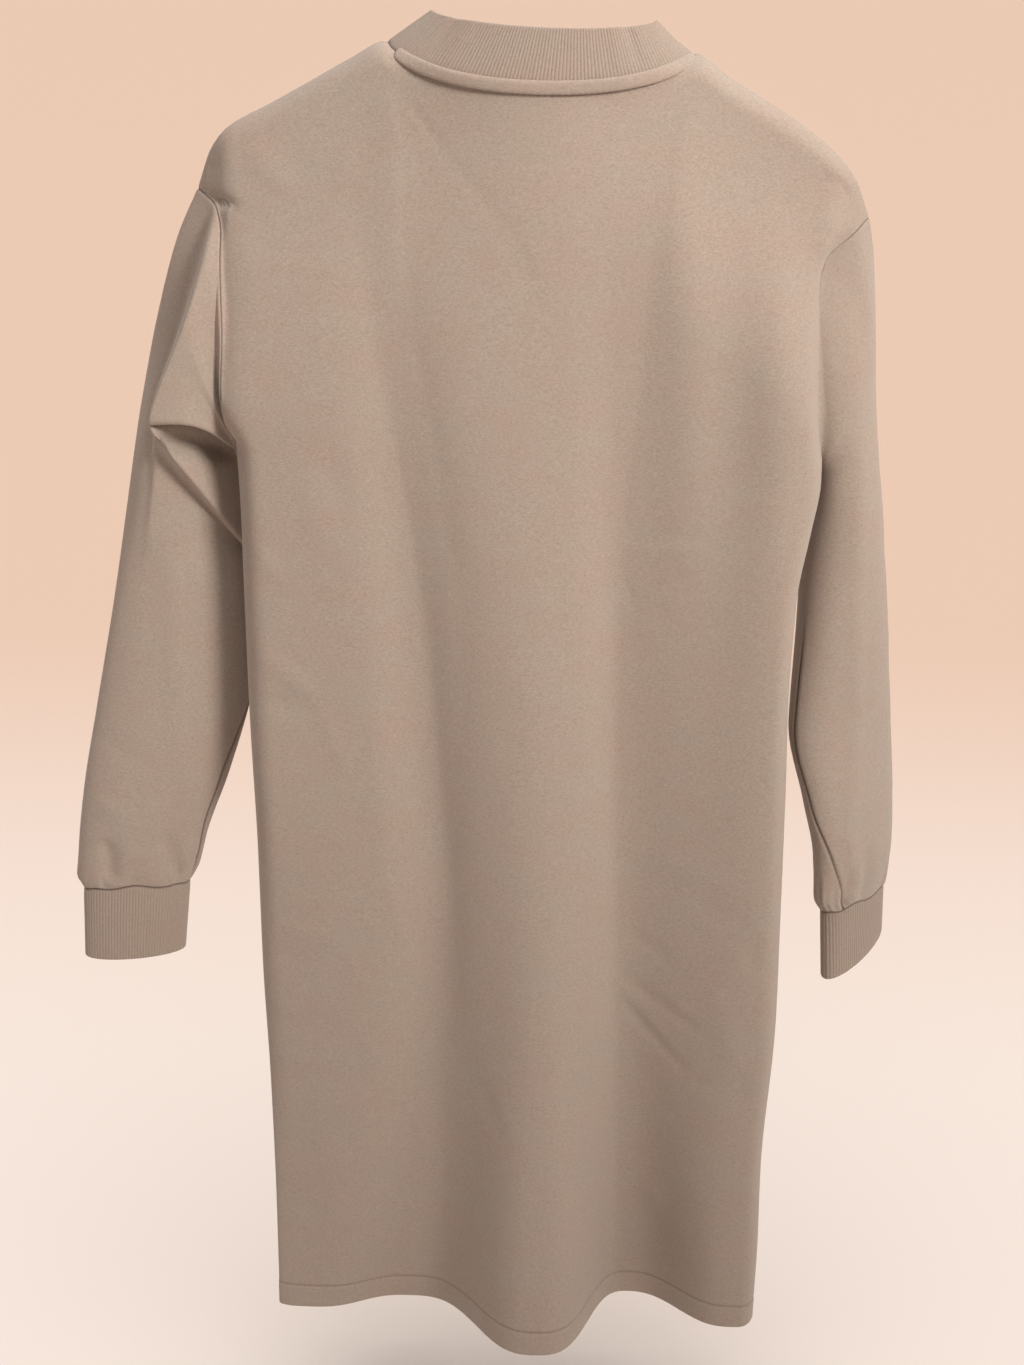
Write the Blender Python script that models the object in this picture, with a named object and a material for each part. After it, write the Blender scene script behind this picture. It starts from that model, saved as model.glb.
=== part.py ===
"""Sweatshirt dress of brushed fleece, hung by its shoulders, filled out and hollow.

Metres. +Z is up, the back of the dress faces +Y and the wearer's left is +X.
The origin lies midway between the two neck points, at the height of the shoulder seams.
Each cut piece is one closed wall: a middle surface from sized sections, given thickness.
"""

import math

import bmesh
import bpy
import numpy as np

FLEECE = 0.0018  # wall of the fleece
RIB_WALL = 0.0022  # wall of the rib knit without its ribs
RIB_RAISE = 0.0004  # height of one rib
SEAM_GAP = 0.00038  # gap between two pieces at their seam
RIB_SEAM_GAP = 0.000266  # what a rib ring keeps of that gap
SHOULDER_DRAW = 0.0006  # how far each panel is drawn in at the sharp ridge of the shoulder seam
HEM_TURN = 0.021  # height of the hem turned up
HEM_EXTRA = 0.0011  # what the turned up layer adds inside

NECK_HALF = 0.095  # neck seam, centre to neck point
SHOULDER_END = 0.2155  # half the width between the two shoulder ends
SHOULDER_DEPTH = 0.40  # depth just below the shoulder seams, as a share of the body's depth
SHOULDER_SPREAD = 0.085  # how far from the centre the neck keeps the body open
SHOULDER_FALL = 0.16  # how far below the shoulder seams the full depth is reached
SHOULDER_FLARE = 0.022  # what the body gains in half width at the shoulders
TOP_TURN = 0.012  # radius of the turn over the shoulder seams
SHOULDER_BLEND = 0.06  # how far down the flare of the shoulders goes
NECK_BLEND = 0.03  # how far down the columns keep their places at the neck seam
NECK_SLACK = 0.005  # how far past the neck point a column still keeps its place
FOLD_CALM = 0.05  # strip along the sides in which the soft folds die out
SIDE_DEPTH = 0.19  # distance from the centre at which the depth lost to the sides is measured
HEM_DOWN = 0.9595  # shoulder seam at the neck to the hem
HEM_STEP = 0.0008  # half the height of the step at the top of the hem turned up
NECK_RIBS = 216
CUFF_RIBS = 78

# Rings round the neck: half width, depth to the back and the front, how far the centre back
# and the centre front lie below the sides, and how high the two sides rise.
NECK_SEAM = dict(half=NECK_HALF, shift=0.0, back_deep=0.037, front_deep=0.060, back_drop=0.0165,
                 front_drop=0.066, left_rise=0.0035, right_rise=0.0010, rise_power=3)
COLLAR_TOP = dict(half=0.0685, shift=-0.002, back_deep=0.031, front_deep=0.050, back_drop=0.0045,
                  front_drop=0.055, left_rise=0.0235, right_rise=0.0210, rise_power=0)
NECK_CURVE = 1.4  # how flat both rings are at their centres
RIB_EDGE = 0.0011  # length over which a rib ring thins to its open edge
RIB_EDGE_HALF = 0.35 * RIB_WALL  # half the wall at the open edge

NECK_COLUMNS = 18  # columns of a panel between the neck points
NECK_EVEN = 0.4  # how evenly they are spread: 1 evenly across, 0 evenly round the neck
SHOULDER_REACH = (0.0, 1.3, 4.0, 9.0, 15.5, 23.0, 37.0, 58.0, 86.0, 120.5)  # mm from the end
ARMHOLE_STEPS = (0.0, 0.02, 0.055, 0.10, 0.18, 0.30, 0.45, 0.60, 0.75, 0.88, 0.96, 1.0)
SEAM_STEPS = (0.03, 0.075, 0.13, 0.20, 0.28, 0.37, 0.47, 0.57, 0.67, 0.77, 0.86, 0.93, 1.0)
SLEEVE_STEPS = (0.0, 0.04, 0.07, 0.10, 0.15, 0.21, 0.25, 0.28, 0.30, 0.34, 0.38, 0.42, 0.48,
                0.54, 0.61, 0.68, 0.75, 0.82, 0.88, 0.925, 0.96, 0.985, 1.0)


def table(names, *rows):
    """A table with named columns."""
    return dict(zip(names.split(), np.array(rows, float).T))


def smooth(xs, ys, at):
    """Monotone cubic through the points, flat beyond both ends."""
    step = np.diff(xs)
    slope = np.diff(ys) / step
    product = slope[:-1] * slope[1:]
    total = np.where(product > 0, slope[:-1] + slope[1:], 1.0)
    inner = np.where(product > 0, 2 * product / total, 0.0)
    bend = np.concatenate([slope[:1], inner, slope[-1:]])
    at = np.clip(at, xs[0], xs[-1])
    k = np.clip(np.searchsorted(xs, at, "right") - 1, 0, len(xs) - 2)
    t = (at - xs[k]) / step[k]
    a = (1 + 2 * t) * (1 - t) ** 2 * ys[k] + t * t * (3 - 2 * t) * ys[k + 1]
    return a + step[k] * t * (1 - t) * ((1 - t) * bend[k] - t * bend[k + 1])


def along(rows, column, at, key="down"):
    return smooth(rows[key], rows[column], at)


def ease(value):
    value = np.clip(value, 0.0, 1.0)
    return value * value * (3 - 2 * value)


def round_off(value):
    """Quarter circle from 0 to 1, upright at 0."""
    value = np.clip(value, 0.0, 1.0)
    return np.sqrt(np.maximum(0.0, 1 - (1 - value) ** 2))


# Top line of the body: shoulder seams beyond the neck points. down = -z.
TOP_LINE = table(
    "x down",
    (-0.2145, 0.0970),
    (-0.2105, 0.0880),
    (-0.2035, 0.0735),
    (-0.1945, 0.0620),
    (-0.1780, 0.0478),
    (-0.1594, 0.0355),
    (-0.1189, 0.0125),
    (-0.0950, -0.0020),
    (0.0950, -0.0045),
    (0.1184, 0.0068),
    (0.1430, 0.0207),
    (0.1690, 0.0352),
    (0.1950, 0.0495),
    (0.2065, 0.0630),
    (0.2135, 0.0800),
    (0.2165, 0.0890),
)

# Panel edges: armhole down to the underarm, then the side seam.
LEFT_EDGE = table(
    "down back_x back_y front_x front_y",
    (0.089, 0.2165, -0.008, 0.2165, -0.008),
    (0.098, 0.2040, 0.005, 0.2080, -0.021),
    (0.114, 0.2005, 0.012, 0.2020, -0.031),
    (0.130, 0.2008, 0.018, 0.1985, -0.035),
    (0.172, 0.1998, 0.0265, 0.1940, -0.037),
    (0.212, 0.2014, 0.0270, 0.1925, -0.032),
    (0.232, 0.2005, 0.019, 0.1930, -0.023),
    (0.244, 0.1975, 0.007, 0.1940, -0.012),
    (0.252, 0.1950, -0.002, 0.1950, -0.002),
    (0.300, 0.1925, 0.003, 0.1925, 0.003),
    (0.360, 0.1915, 0.005, 0.1915, 0.005),
    (0.450, 0.1900, 0.005, 0.1900, 0.005),
    (0.550, 0.1870, 0.004, 0.1870, 0.004),
    (0.650, 0.1855, 0.004, 0.1855, 0.004),
    (0.750, 0.1820, 0.004, 0.1820, 0.004),
    (0.850, 0.1803, 0.004, 0.1803, 0.004),
    (0.960, 0.1796, 0.004, 0.1796, 0.004),
)
RIGHT_EDGE = table(
    "down back_x back_y front_x front_y",
    (0.097, -0.2145, -0.012, -0.2145, -0.012),
    (0.105, -0.2050, -0.001, -0.2080, -0.023),
    (0.120, -0.1875, 0.003, -0.2010, -0.032),
    (0.135, -0.1840, 0.003, -0.1975, -0.036),
    (0.172, -0.1862, 0.001, -0.1940, -0.037),
    (0.212, -0.1885, 0.000, -0.1930, -0.032),
    (0.238, -0.1915, -0.003, -0.1935, -0.022),
    (0.248, -0.1935, -0.005, -0.1945, -0.014),
    (0.256, -0.1955, -0.008, -0.1955, -0.008),
    (0.269, -0.1957, -0.004, -0.1957, -0.004),
    (0.300, -0.1915, 0.002, -0.1915, 0.002),
    (0.350, -0.1850, 0.004, -0.1850, 0.004),
    (0.400, -0.1845, 0.004, -0.1845, 0.004),
    (0.500, -0.1885, 0.004, -0.1885, 0.004),
    (0.600, -0.1923, 0.004, -0.1923, 0.004),
    (0.700, -0.1955, 0.004, -0.1955, 0.004),
    (0.800, -0.1932, 0.004, -0.1932, 0.004),
    (0.900, -0.1963, 0.004, -0.1963, 0.004),
    (0.960, -0.1968, 0.004, -0.1968, 0.004),
)

# Depth of the two panels before their folds, and how much of it is lost towards the sides.
BODY_DEPTH = table(
    "down back front back_loss front_loss",
    (-0.01, 0.036, -0.052, 0.35, 0.35),
    (0.08, 0.036, -0.052, 0.28, 0.28),
    (0.14, 0.035, -0.051, 0.12, 0.30),
    (0.22, 0.034, -0.050, 0.10, 0.55),
    (0.27, 0.033, -0.048, 0.20, 0.80),
    (0.45, 0.029, -0.046, 0.20, 0.80),
    (0.60, 0.026, -0.044, 0.20, 0.60),
    (0.80, 0.017, -0.042, 0.20, 0.50),
    (0.960, 0.010, -0.040, 0.20, 0.40),
)

# How flat the crests of the folds are: they are rounder at the top and flatter at the hem.
FOLD_FLATNESS = table("down power", (0.60, 2.1), (0.70, 2.27), (0.775, 2.5), (0.85, 2.73), (0.95, 2.9))

# Folds that run down the panels. Each has its centre, its half widths towards the
# wearer's left and right, and its height, at rows down the body.
BACK_PIPE = table(
    "down centre left right height",
    (0.05, 0.020, 0.070, 0.070, 0.000),
    (0.20, 0.015, 0.052, 0.050, 0.003),
    (0.36, 0.002, 0.048, 0.042, 0.009),
    (0.55, -0.012, 0.042, 0.040, 0.015),
    (0.70, -0.019, 0.041, 0.040, 0.023),
    (0.82, -0.022, 0.043, 0.042, 0.034),
    (0.92, -0.024, 0.047, 0.044, 0.045),
    (0.960, -0.024, 0.047, 0.045, 0.049),
)
BACK_LEFT_VALLEY = table(
    "down centre left right height",
    (0.08, 0.098, 0.026, 0.030, -0.001),
    (0.25, 0.086, 0.024, 0.028, -0.005),
    (0.44, 0.069, 0.023, 0.024, -0.007),
    (0.60, 0.058, 0.024, 0.022, -0.009),
    (0.80, 0.066, 0.034, 0.030, -0.012),
    (0.960, 0.076, 0.045, 0.043, -0.018),
)
BACK_RIGHT_VALLEY = table(
    "down centre left right height",
    (0.10, -0.052, 0.022, 0.034, -0.001),
    (0.25, -0.058, 0.020, 0.036, -0.005),
    (0.36, -0.062, 0.018, 0.038, -0.008),
    (0.60, -0.076, 0.020, 0.038, -0.011),
    (0.80, -0.086, 0.026, 0.042, -0.019),
    (0.92, -0.092, 0.030, 0.048, -0.028),
    (0.960, -0.093, 0.031, 0.050, -0.030),
)
FRONT_LEFT_PIPE = table(
    "down centre left right height",
    (0.12, 0.045, 0.050, 0.050, 0.000),
    (0.40, 0.060, 0.045, 0.045, -0.008),
    (0.70, 0.072, 0.042, 0.042, -0.020),
    (0.960, 0.080, 0.040, 0.042, -0.040),
)
FRONT_RIGHT_PIPE = table(
    "down centre left right height",
    (0.12, -0.050, 0.050, 0.050, 0.000),
    (0.40, -0.070, 0.045, 0.045, -0.007),
    (0.70, -0.084, 0.042, 0.042, -0.017),
    (0.960, -0.092, 0.042, 0.040, -0.034),
)
FRONT_CENTRE_VALLEY = table(
    "down centre left right height",
    (0.15, 0.004, 0.040, 0.040, 0.000),
    (0.50, -0.002, 0.036, 0.036, 0.004),
    (0.960, -0.008, 0.034, 0.034, 0.008),
)
# Folds right at the sides of the back: its right side rises to a rounded ridge beside
# the side seam, and its left side falls away.
BACK_RIGHT_EDGE = table(
    "down centre left right height",
    (0.10, -0.160, 0.030, 0.030, 0.000),
    (0.20, -0.168, 0.030, 0.026, 0.005),
    (0.34, -0.174, 0.038, 0.026, 0.010),
    (0.60, -0.180, 0.044, 0.026, 0.013),
    (0.80, -0.184, 0.046, 0.026, 0.013),
    (0.960, -0.186, 0.048, 0.028, 0.012),
)
BACK_LEFT_EDGE = table(
    "down centre left right height",
    (0.50, 0.200, 0.040, 0.040, 0.000),
    (0.65, 0.196, 0.040, 0.042, -0.005),
    (0.80, 0.192, 0.040, 0.044, -0.005),
    (0.92, 0.189, 0.040, 0.044, -0.002),
    (0.960, 0.188, 0.040, 0.044, 0.000),
)
EDGE_FOLDS = {"back": (BACK_RIGHT_EDGE, BACK_LEFT_EDGE), "front": ()}
FOLDS = {
    "back": (BACK_PIPE, BACK_LEFT_VALLEY, BACK_RIGHT_VALLEY),
    "front": (FRONT_LEFT_PIPE, FRONT_RIGHT_PIPE, FRONT_CENTRE_VALLEY),
}
UNDERARM_DOWN = {1: 0.252, -1: 0.256}

# Width of the turn from the panels to their edges at the two sides, and how crisp its
# fold is: the back ends in a crisp fold at each shoulder, short of the armhole.
SIDE_TURN = table(
    "down left right crisp",
    (0.045, 0.0170, 0.0180, 0.6),
    (0.060, 0.0215, 0.0240, 1.0),
    (0.095, 0.0210, 0.0275, 1.0),
    (0.099, 0.0085, 0.0240, 1.0),
    (0.106, 0.0060, 0.0190, 0.9),
    (0.118, 0.0045, 0.0060, 0.7),
    (0.135, 0.0045, 0.0055, 0.6),
    (0.170, 0.0070, 0.0090, 0.3),
    (0.220, 0.0150, 0.0120, 0.0),
)
SHOULDER_TIP = table("side x y", (-1, -0.2145, -0.012), (1, 0.2165, -0.008))
SIDE_TURN_FRONT = (0.017, 0.012)  # the same width on the front, left and right
TIP_SPAN = 0.0145  # length of the shoulder seam's end that dips to the tip
BODY_HALF = {1: 0.1945, -1: 0.1925}  # half width of the body to its left and its right

# Sleeve sections: the outer and the inner end of each ring and its depth to each side.
LEFT_SLEEVE = table(
    "t outer_x outer_y outer_z inner_x inner_y inner_z back front",
    (0.00, 0.2165, -0.008, -0.089, 0.1950, -0.002, -0.252, 0.030, 0.030),
    (0.08, 0.2310, -0.011, -0.120, 0.1970, -0.006, -0.2565, 0.022, 0.034),
    (0.18, 0.2465, -0.012, -0.172, 0.1985, -0.011, -0.261, 0.018, 0.036),
    (0.28, 0.2585, -0.012, -0.225, 0.1985, -0.016, -0.266, 0.017, 0.034),
    (0.32, 0.2622, -0.012, -0.243, 0.1970, -0.020, -0.272, 0.018, 0.032),
    (0.42, 0.2735, -0.013, -0.306, 0.1900, -0.029, -0.312, 0.019, 0.028),
    (0.54, 0.2855, -0.014, -0.372, 0.1885, -0.032, -0.376, 0.020, 0.025),
    (0.68, 0.3020, -0.014, -0.454, 0.1950, -0.031, -0.443, 0.020, 0.023),
    (0.80, 0.3140, -0.013, -0.515, 0.2120, -0.030, -0.506, 0.020, 0.022),
    (0.90, 0.3205, -0.012, -0.562, 0.2300, -0.030, -0.556, 0.019, 0.020),
    (0.96, 0.3225, -0.011, -0.588, 0.2375, -0.029, -0.585, 0.015, 0.016),
    (1.00, 0.3185, -0.012, -0.5965, 0.2445, -0.028, -0.5965, 0.013, 0.013),
)
RIGHT_SLEEVE = table(
    "t outer_x outer_y outer_z inner_x inner_y inner_z back front",
    (0.00, -0.2145, -0.012, -0.097, -0.1955, -0.008, -0.256, 0.014, 0.030),
    (0.08, -0.2210, -0.022, -0.120, -0.1975, -0.013, -0.260, 0.015, 0.030),
    (0.18, -0.2285, -0.032, -0.172, -0.1985, -0.019, -0.266, 0.018, 0.030),
    (0.28, -0.2340, -0.039, -0.225, -0.1980, -0.022, -0.276, 0.022, 0.030),
    (0.32, -0.2360, -0.040, -0.243, -0.1975, -0.022, -0.287, 0.024, 0.029),
    (0.42, -0.2435, -0.044, -0.306, -0.1965, -0.017, -0.322, 0.026, 0.028),
    (0.54, -0.2525, -0.048, -0.372, -0.1958, -0.009, -0.380, 0.026, 0.026),
    (0.68, -0.2645, -0.052, -0.454, -0.1935, 0.000, -0.450, 0.024, 0.024),
    (0.80, -0.2710, -0.054, -0.515, -0.2080, 0.008, -0.508, 0.022, 0.022),
    (0.90, -0.2735, -0.054, -0.558, -0.2190, 0.012, -0.552, 0.020, 0.020),
    (0.96, -0.2745, -0.054, -0.582, -0.2205, 0.013, -0.580, 0.016, 0.016),
    (1.00, -0.2720, -0.049, -0.590, -0.2265, 0.007, -0.592, 0.014, 0.014),
)

# The corner of cloth folded up behind the left underarm. Its crest runs out from the
# armhole to a tip, turns under at a mouth and runs back to the side of the body.
# Each row is one section: the crest point, where the section ends at the body, how late
# the section turns on its way there in x, y and z, and how close the valley lies to the crest.
UNDERARM_FOLD = table(
    "t crest_x crest_y crest_z end_x end_y end_z late_x late_y late_z crowd amount",
    (0.00, 0.2004, 0.024, -0.1183, 0.1950, -0.002, -0.252, 3.0, 4.0, 1.0, 1.00, 1.0),
    (0.08, 0.2085, 0.029, -0.136, 0.1960, -0.004, -0.2555, 3.0, 5.0, 1.2, 0.70, 1.0),
    (0.18, 0.2260, 0.030, -0.178, 0.1965, -0.007, -0.2595, 1.5, 4.5, 1.9, 0.45, 1.0),
    (0.28, 0.2475, 0.030, -0.2325, 0.1970, -0.010, -0.2635, 1.1, 4.0, 4.0, 0.35, 1.0),
    (0.30, 0.2480, 0.026, -0.2370, 0.1970, -0.017, -0.2665, 1.0, 0.6, 4.0, 0.35, 1.0),
    (0.34, 0.2475, 0.026, -0.2400, 0.1945, -0.020, -0.292, 1.0, 0.8, 1.4, 0.35, 1.0),
    (0.38, 0.2460, 0.026, -0.2430, 0.1905, -0.018, -0.334, 1.0, 1.0, 1.0, 0.35, 1.0),
    (0.42, 0.2470, 0.008, -0.2560, 0.1885, -0.028, -0.350, 1.0, 1.0, 1.0, 0.45, 0.85),
    (0.50, 0.2570, 0.006, -0.3300, 0.1883, -0.031, -0.370, 1.0, 1.0, 1.0, 0.60, 0.0),
    (1.00, 0.3000, 0.000, -0.5900, 0.2440, -0.028, -0.592, 1.0, 1.0, 1.0, 1.00, 0.0),
)
CREST = 0.18  # where the crest lies on the way around, from the outer line to the inner
CREST_FOOT = 0.80  # where the cloth starts to rise to the crest, as a share of the way to it
FOLD_VALLEY = 0.016  # how far behind the outer line the cloth beside the crest lies
SLEEVE_SET_IN = 0.18  # share of the sleeve over which it takes the shape of the armhole

# From the cuff seam to the cuff's open end, at its outer and its inner side.
CUFF_DRIFT = table(
    "side outer_x outer_y outer_z inner_x inner_y inner_z",
    (-1, -0.007, -0.022, -0.054, -0.006, -0.004, -0.0605),
    (1, 0.002, 0.000, -0.0595, 0.006, 0.000, -0.0590),
)

# Section of the neck tape: up from the seam along the collar, or down along the panel
# below 0, and out from them.
TAPE_SECTION = table(
    "up out",
    (-0.0046, 0.00190),
    (0.0, 0.00250),
    (0.0040, 0.00210),
    (0.0049, 0.00290),
    (0.0040, 0.00410),
    (0.0, 0.00500),
    (-0.0046, 0.00390),
    (-0.0054, 0.00260),
)
TAPE_END = 0.05  # how far each end of the tape is drawn back, as a share of its last step
NORMAL_EVENNESS = 0.8  # 0: a large face weighs more in a point's normal, 1: all weigh the same
FLEECE_CLOTH = dict(colour=(0.445, 0.342, 0.278), roughness=0.9)
RIB_CLOTH = dict(colour=(0.475, 0.365, 0.298), roughness=0.85)


def bump(fold, x, down):
    """One soft fold: its height where x lies near its centre."""
    off = x - along(fold, "centre", down)
    width = np.where(off > 0, along(fold, "left", down), along(fold, "right", down))
    flatness = along(FOLD_FLATNESS, "power", down)
    return along(fold, "height", down) * np.exp(-(np.abs(off) / width) ** flatness)


def neck_ring(sizes, turn):
    """A ring round the neck: turn 0 is the centre back, +90 degrees the wearer's left."""
    across = np.sin(turn)
    back = np.cos(turn)
    deep = np.where(back > 0, sizes["back_deep"], sizes["front_deep"]) * back
    drop = np.where(back > 0, sizes["back_drop"], sizes["front_drop"]) * np.abs(back) ** NECK_CURVE
    rise = (sizes["left_rise"] + sizes["right_rise"]) / 2
    rise = rise + (sizes["left_rise"] - sizes["right_rise"]) / 2 * across
    rise = rise * np.abs(across) ** sizes["rise_power"]
    return np.stack([sizes["half"] * across + sizes["shift"], deep, rise - drop], -1)


def body_edge(x_sign, side, down):
    edge = LEFT_EDGE if x_sign > 0 else RIGHT_EDGE
    below = {name: edge[name][edge["down"] >= UNDERARM_DOWN[x_sign]] for name in edge}
    seam = down >= UNDERARM_DOWN[x_sign]
    return [np.where(seam, along(below, side + axis, down), along(edge, side + axis, down))
            for axis in ("_x", "_y")]


def edge_rows(x_sign):
    """Row heights at one edge of the body: the armhole, the side seam, then the hem."""
    edge = LEFT_EDGE if x_sign > 0 else RIGHT_EDGE
    start = edge["down"][0]
    underarm = UNDERARM_DOWN[x_sign]
    turn = HEM_DOWN - HEM_TURN
    armhole = start + np.array(ARMHOLE_STEPS) * (underarm - start)
    seam = underarm + np.array(SEAM_STEPS) * (turn - HEM_STEP - underarm)
    return np.concatenate([armhole, seam, [turn + HEM_STEP, HEM_DOWN]])


def body_places():
    """Places across the body, +1 at the left edge to -1 at the right, and the neck turns."""
    reach = np.array(SHOULDER_REACH)
    outer = 1 - reach / reach[-1] * (1 - NECK_HALF / SHOULDER_END)
    even = np.linspace(1, -1, NECK_COLUMNS + 1)
    turns = np.arcsin(NECK_EVEN * even + (1 - NECK_EVEN) * np.sin(even * math.pi / 2))
    neck = NECK_HALF / SHOULDER_END * np.sin(turns)
    return np.concatenate([outer[:-1], neck, -outer[-2::-1]]), turns, len(outer) - 1


def body_surface(side):
    """Middle surface of a panel: columns from the left edge to the right, rows down to the hem."""
    places, turns, first = body_places()
    neck = neck_ring(NECK_SEAM, turns if side == "back" else math.pi - turns)
    right_tip, left_tip = SHOULDER_TIP["x"]
    x_top = np.where(places > 0, left_tip, -right_tip) * places
    down_top = smooth(TOP_LINE["x"], TOP_LINE["down"], x_top)
    right_y, left_y = SHOULDER_TIP["y"]
    near_tip = (np.abs(x_top) + right_tip + TIP_SPAN) / TIP_SPAN
    y_top = np.where(places > 0, left_y, right_y) * np.clip(near_tip, 0, 1)
    last = first + len(turns)
    x_top[first:last] = neck[:, 0]
    y_top[first:last] = neck[:, 1]
    down_top[first:last] = -neck[:, 2]
    left, right = edge_rows(1), edge_rows(-1)
    left_fall = (left - left[0]) / (HEM_DOWN - left[0])
    right_fall = (right - right[0]) / (HEM_DOWN - right[0])
    place = places[:, None]
    fall = left_fall + (right_fall - left_fall) * (1 - place) / 2
    return panel_points(side, place, x_top[:, None], y_top[:, None], down_top[:, None], fall)


def panel_points(side, place, x_top, y_top, down_top, fall):
    """Points of a panel at the given shares of the way from its top line to the hem."""
    down = down_top + (HEM_DOWN - down_top) * fall
    left_x, left_y = body_edge(1, side, down)
    right_x, right_y = body_edge(-1, side, down)
    edge_x = np.where(place > 0, left_x, -right_x)
    edge_y = np.where(place > 0, left_y, right_y)
    size = np.abs(place)
    fallen = np.maximum(down - down_top, 0.0)
    narrow = np.where(place > 0, BODY_HALF[1], BODY_HALF[-1])
    width = narrow + SHOULDER_FLARE * (1 - ease(fallen / SHOULDER_BLEND))
    x = np.sign(place) * (size * width + size**5 * (edge_x - width))
    at_neck = (1 - ease(fallen / NECK_BLEND)) * (size < NECK_HALF / SHOULDER_END + NECK_SLACK)
    x = x + at_neck * (x_top - np.sign(place) * size * (narrow + SHOULDER_FLARE))
    gap = edge_x - np.abs(x)
    loss = 1 - along(BODY_DEPTH, side + "_loss", down) * np.abs(x / SIDE_DEPTH) ** 3
    lean = along(BODY_DEPTH, side, down) * loss
    lean = lean + ease(gap / FOLD_CALM) * sum(bump(fold, x, down) for fold in FOLDS[side])
    lean = lean + sum(bump(fold, x, down) for fold in EDGE_FOLDS[side])
    thin = (1 - np.exp(-((x / SHOULDER_SPREAD) ** 2))) * (1 - ease(fallen / SHOULDER_FALL))
    lean = lean * (1 - (1 - SHOULDER_DEPTH) * thin)
    base = y_top + (edge_y - y_top) * fallen / (fallen + np.maximum(gap, 0.0) + 1e-7)
    across = np.where(place > 0, along(SIDE_TURN, "left", down), along(SIDE_TURN, "right", down))
    across = across if side == "back" else np.where(place > 0, *SIDE_TURN_FRONT)
    reach = gap / across
    crisp = along(SIDE_TURN, "crisp", down) * (side == "back")
    rise = round_off(reach) * (1 - crisp) + np.clip(reach, 0, 1) * crisp
    y = base + (lean - base) * rise * round_off(fallen / TOP_TURN)
    return np.stack([x, y, -down], -1)


def armhole_loop(x_sign):
    """The armhole seam: down its back branch from the shoulder, and up its front branch."""
    down = edge_rows(x_sign)[: len(ARMHOLE_STEPS)]
    back = np.stack([*body_edge(x_sign, "back", down), -down], -1)
    front = np.stack([*body_edge(x_sign, "front", down), -down], -1)
    return np.concatenate([back, front[-2:0:-1]])


def sleeve_ring(rows, turn, t):
    """Points of the plain sleeve: turn 0 is the outer line, 90 degrees the back."""
    outer = np.stack([along(rows, "outer_" + a, t, "t") for a in "xyz"], -1)
    inner = np.stack([along(rows, "inner_" + a, t, "t") for a in "xyz"], -1)
    chord = (outer - inner) / 2
    unit = chord / np.linalg.norm(chord, axis=-1, keepdims=True)
    depth = np.array([0.0, 1.0, 0.0]) - unit * unit[..., 1:2]
    depth = depth / np.linalg.norm(depth, axis=-1, keepdims=True)
    sine = np.sin(turn)
    size = np.where(sine > 0, along(rows, "back", t, "t"), along(rows, "front", t, "t"))
    return (outer + inner) / 2 + chord * np.cos(turn)[..., None] + depth * (size * sine)[..., None]


def underarm_fold(points, turn, t):
    """The back of the left sleeve, with the folded corner of cloth at the underarm."""
    fold = {name: along(UNDERARM_FOLD, name, t, "t") for name in UNDERARM_FOLD if name != "t"}
    outer = [along(LEFT_SLEEVE, "outer_" + a, t, "t") for a in "xyz"]
    round_share = (1 - np.cos(turn)) / 2
    near = np.clip(round_share / CREST, 0, 1) ** fold["crowd"]
    far = np.clip((round_share - CREST) / (1 - CREST), 0, 1)
    before = round_share < CREST
    valley = outer[1] + FOLD_VALLEY * np.sin(near * math.pi / 2)
    step = ease((near - CREST_FOOT) / (1 - CREST_FOOT))
    x = np.where(before, outer[0] + (fold["crest_x"] - outer[0]) * near,
                 fold["crest_x"] + (fold["end_x"] - fold["crest_x"]) * far ** fold["late_x"])
    y = np.where(before, valley + (fold["crest_y"] - valley) * step,
                 fold["crest_y"] + (fold["end_y"] - fold["crest_y"]) * far ** fold["late_y"])
    z = np.where(before, outer[2] + (fold["crest_z"] - outer[2]) * near,
                 fold["crest_z"] + (fold["end_z"] - fold["crest_z"]) * far ** fold["late_z"])
    folded = np.stack([x, y, z], -1)
    amount = (fold["amount"] * (np.sin(turn) > 1e-6))[..., None]
    return points + (folded - points) * amount


def sleeve_surface(x_sign):
    """Middle surface of a sleeve: around from the outer line, rows from armhole to cuff."""
    rows = LEFT_SLEEVE if x_sign > 0 else RIGHT_SLEEVE
    quarter = np.arccos(1 - 2 * np.array(ARMHOLE_STEPS))
    turns = np.concatenate([quarter, 2 * math.pi - quarter[-2:0:-1]])
    turn, t = np.meshgrid(turns, np.array(SLEEVE_STEPS), indexing="ij")
    points = sleeve_ring(rows, turn, t)
    if x_sign > 0:
        points = underarm_fold(points, turn, t)
    shift = armhole_loop(x_sign) - points[:, 0]
    return points + (1 - ease(t / SLEEVE_SET_IN))[..., None] * shift[:, None, :]


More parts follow.
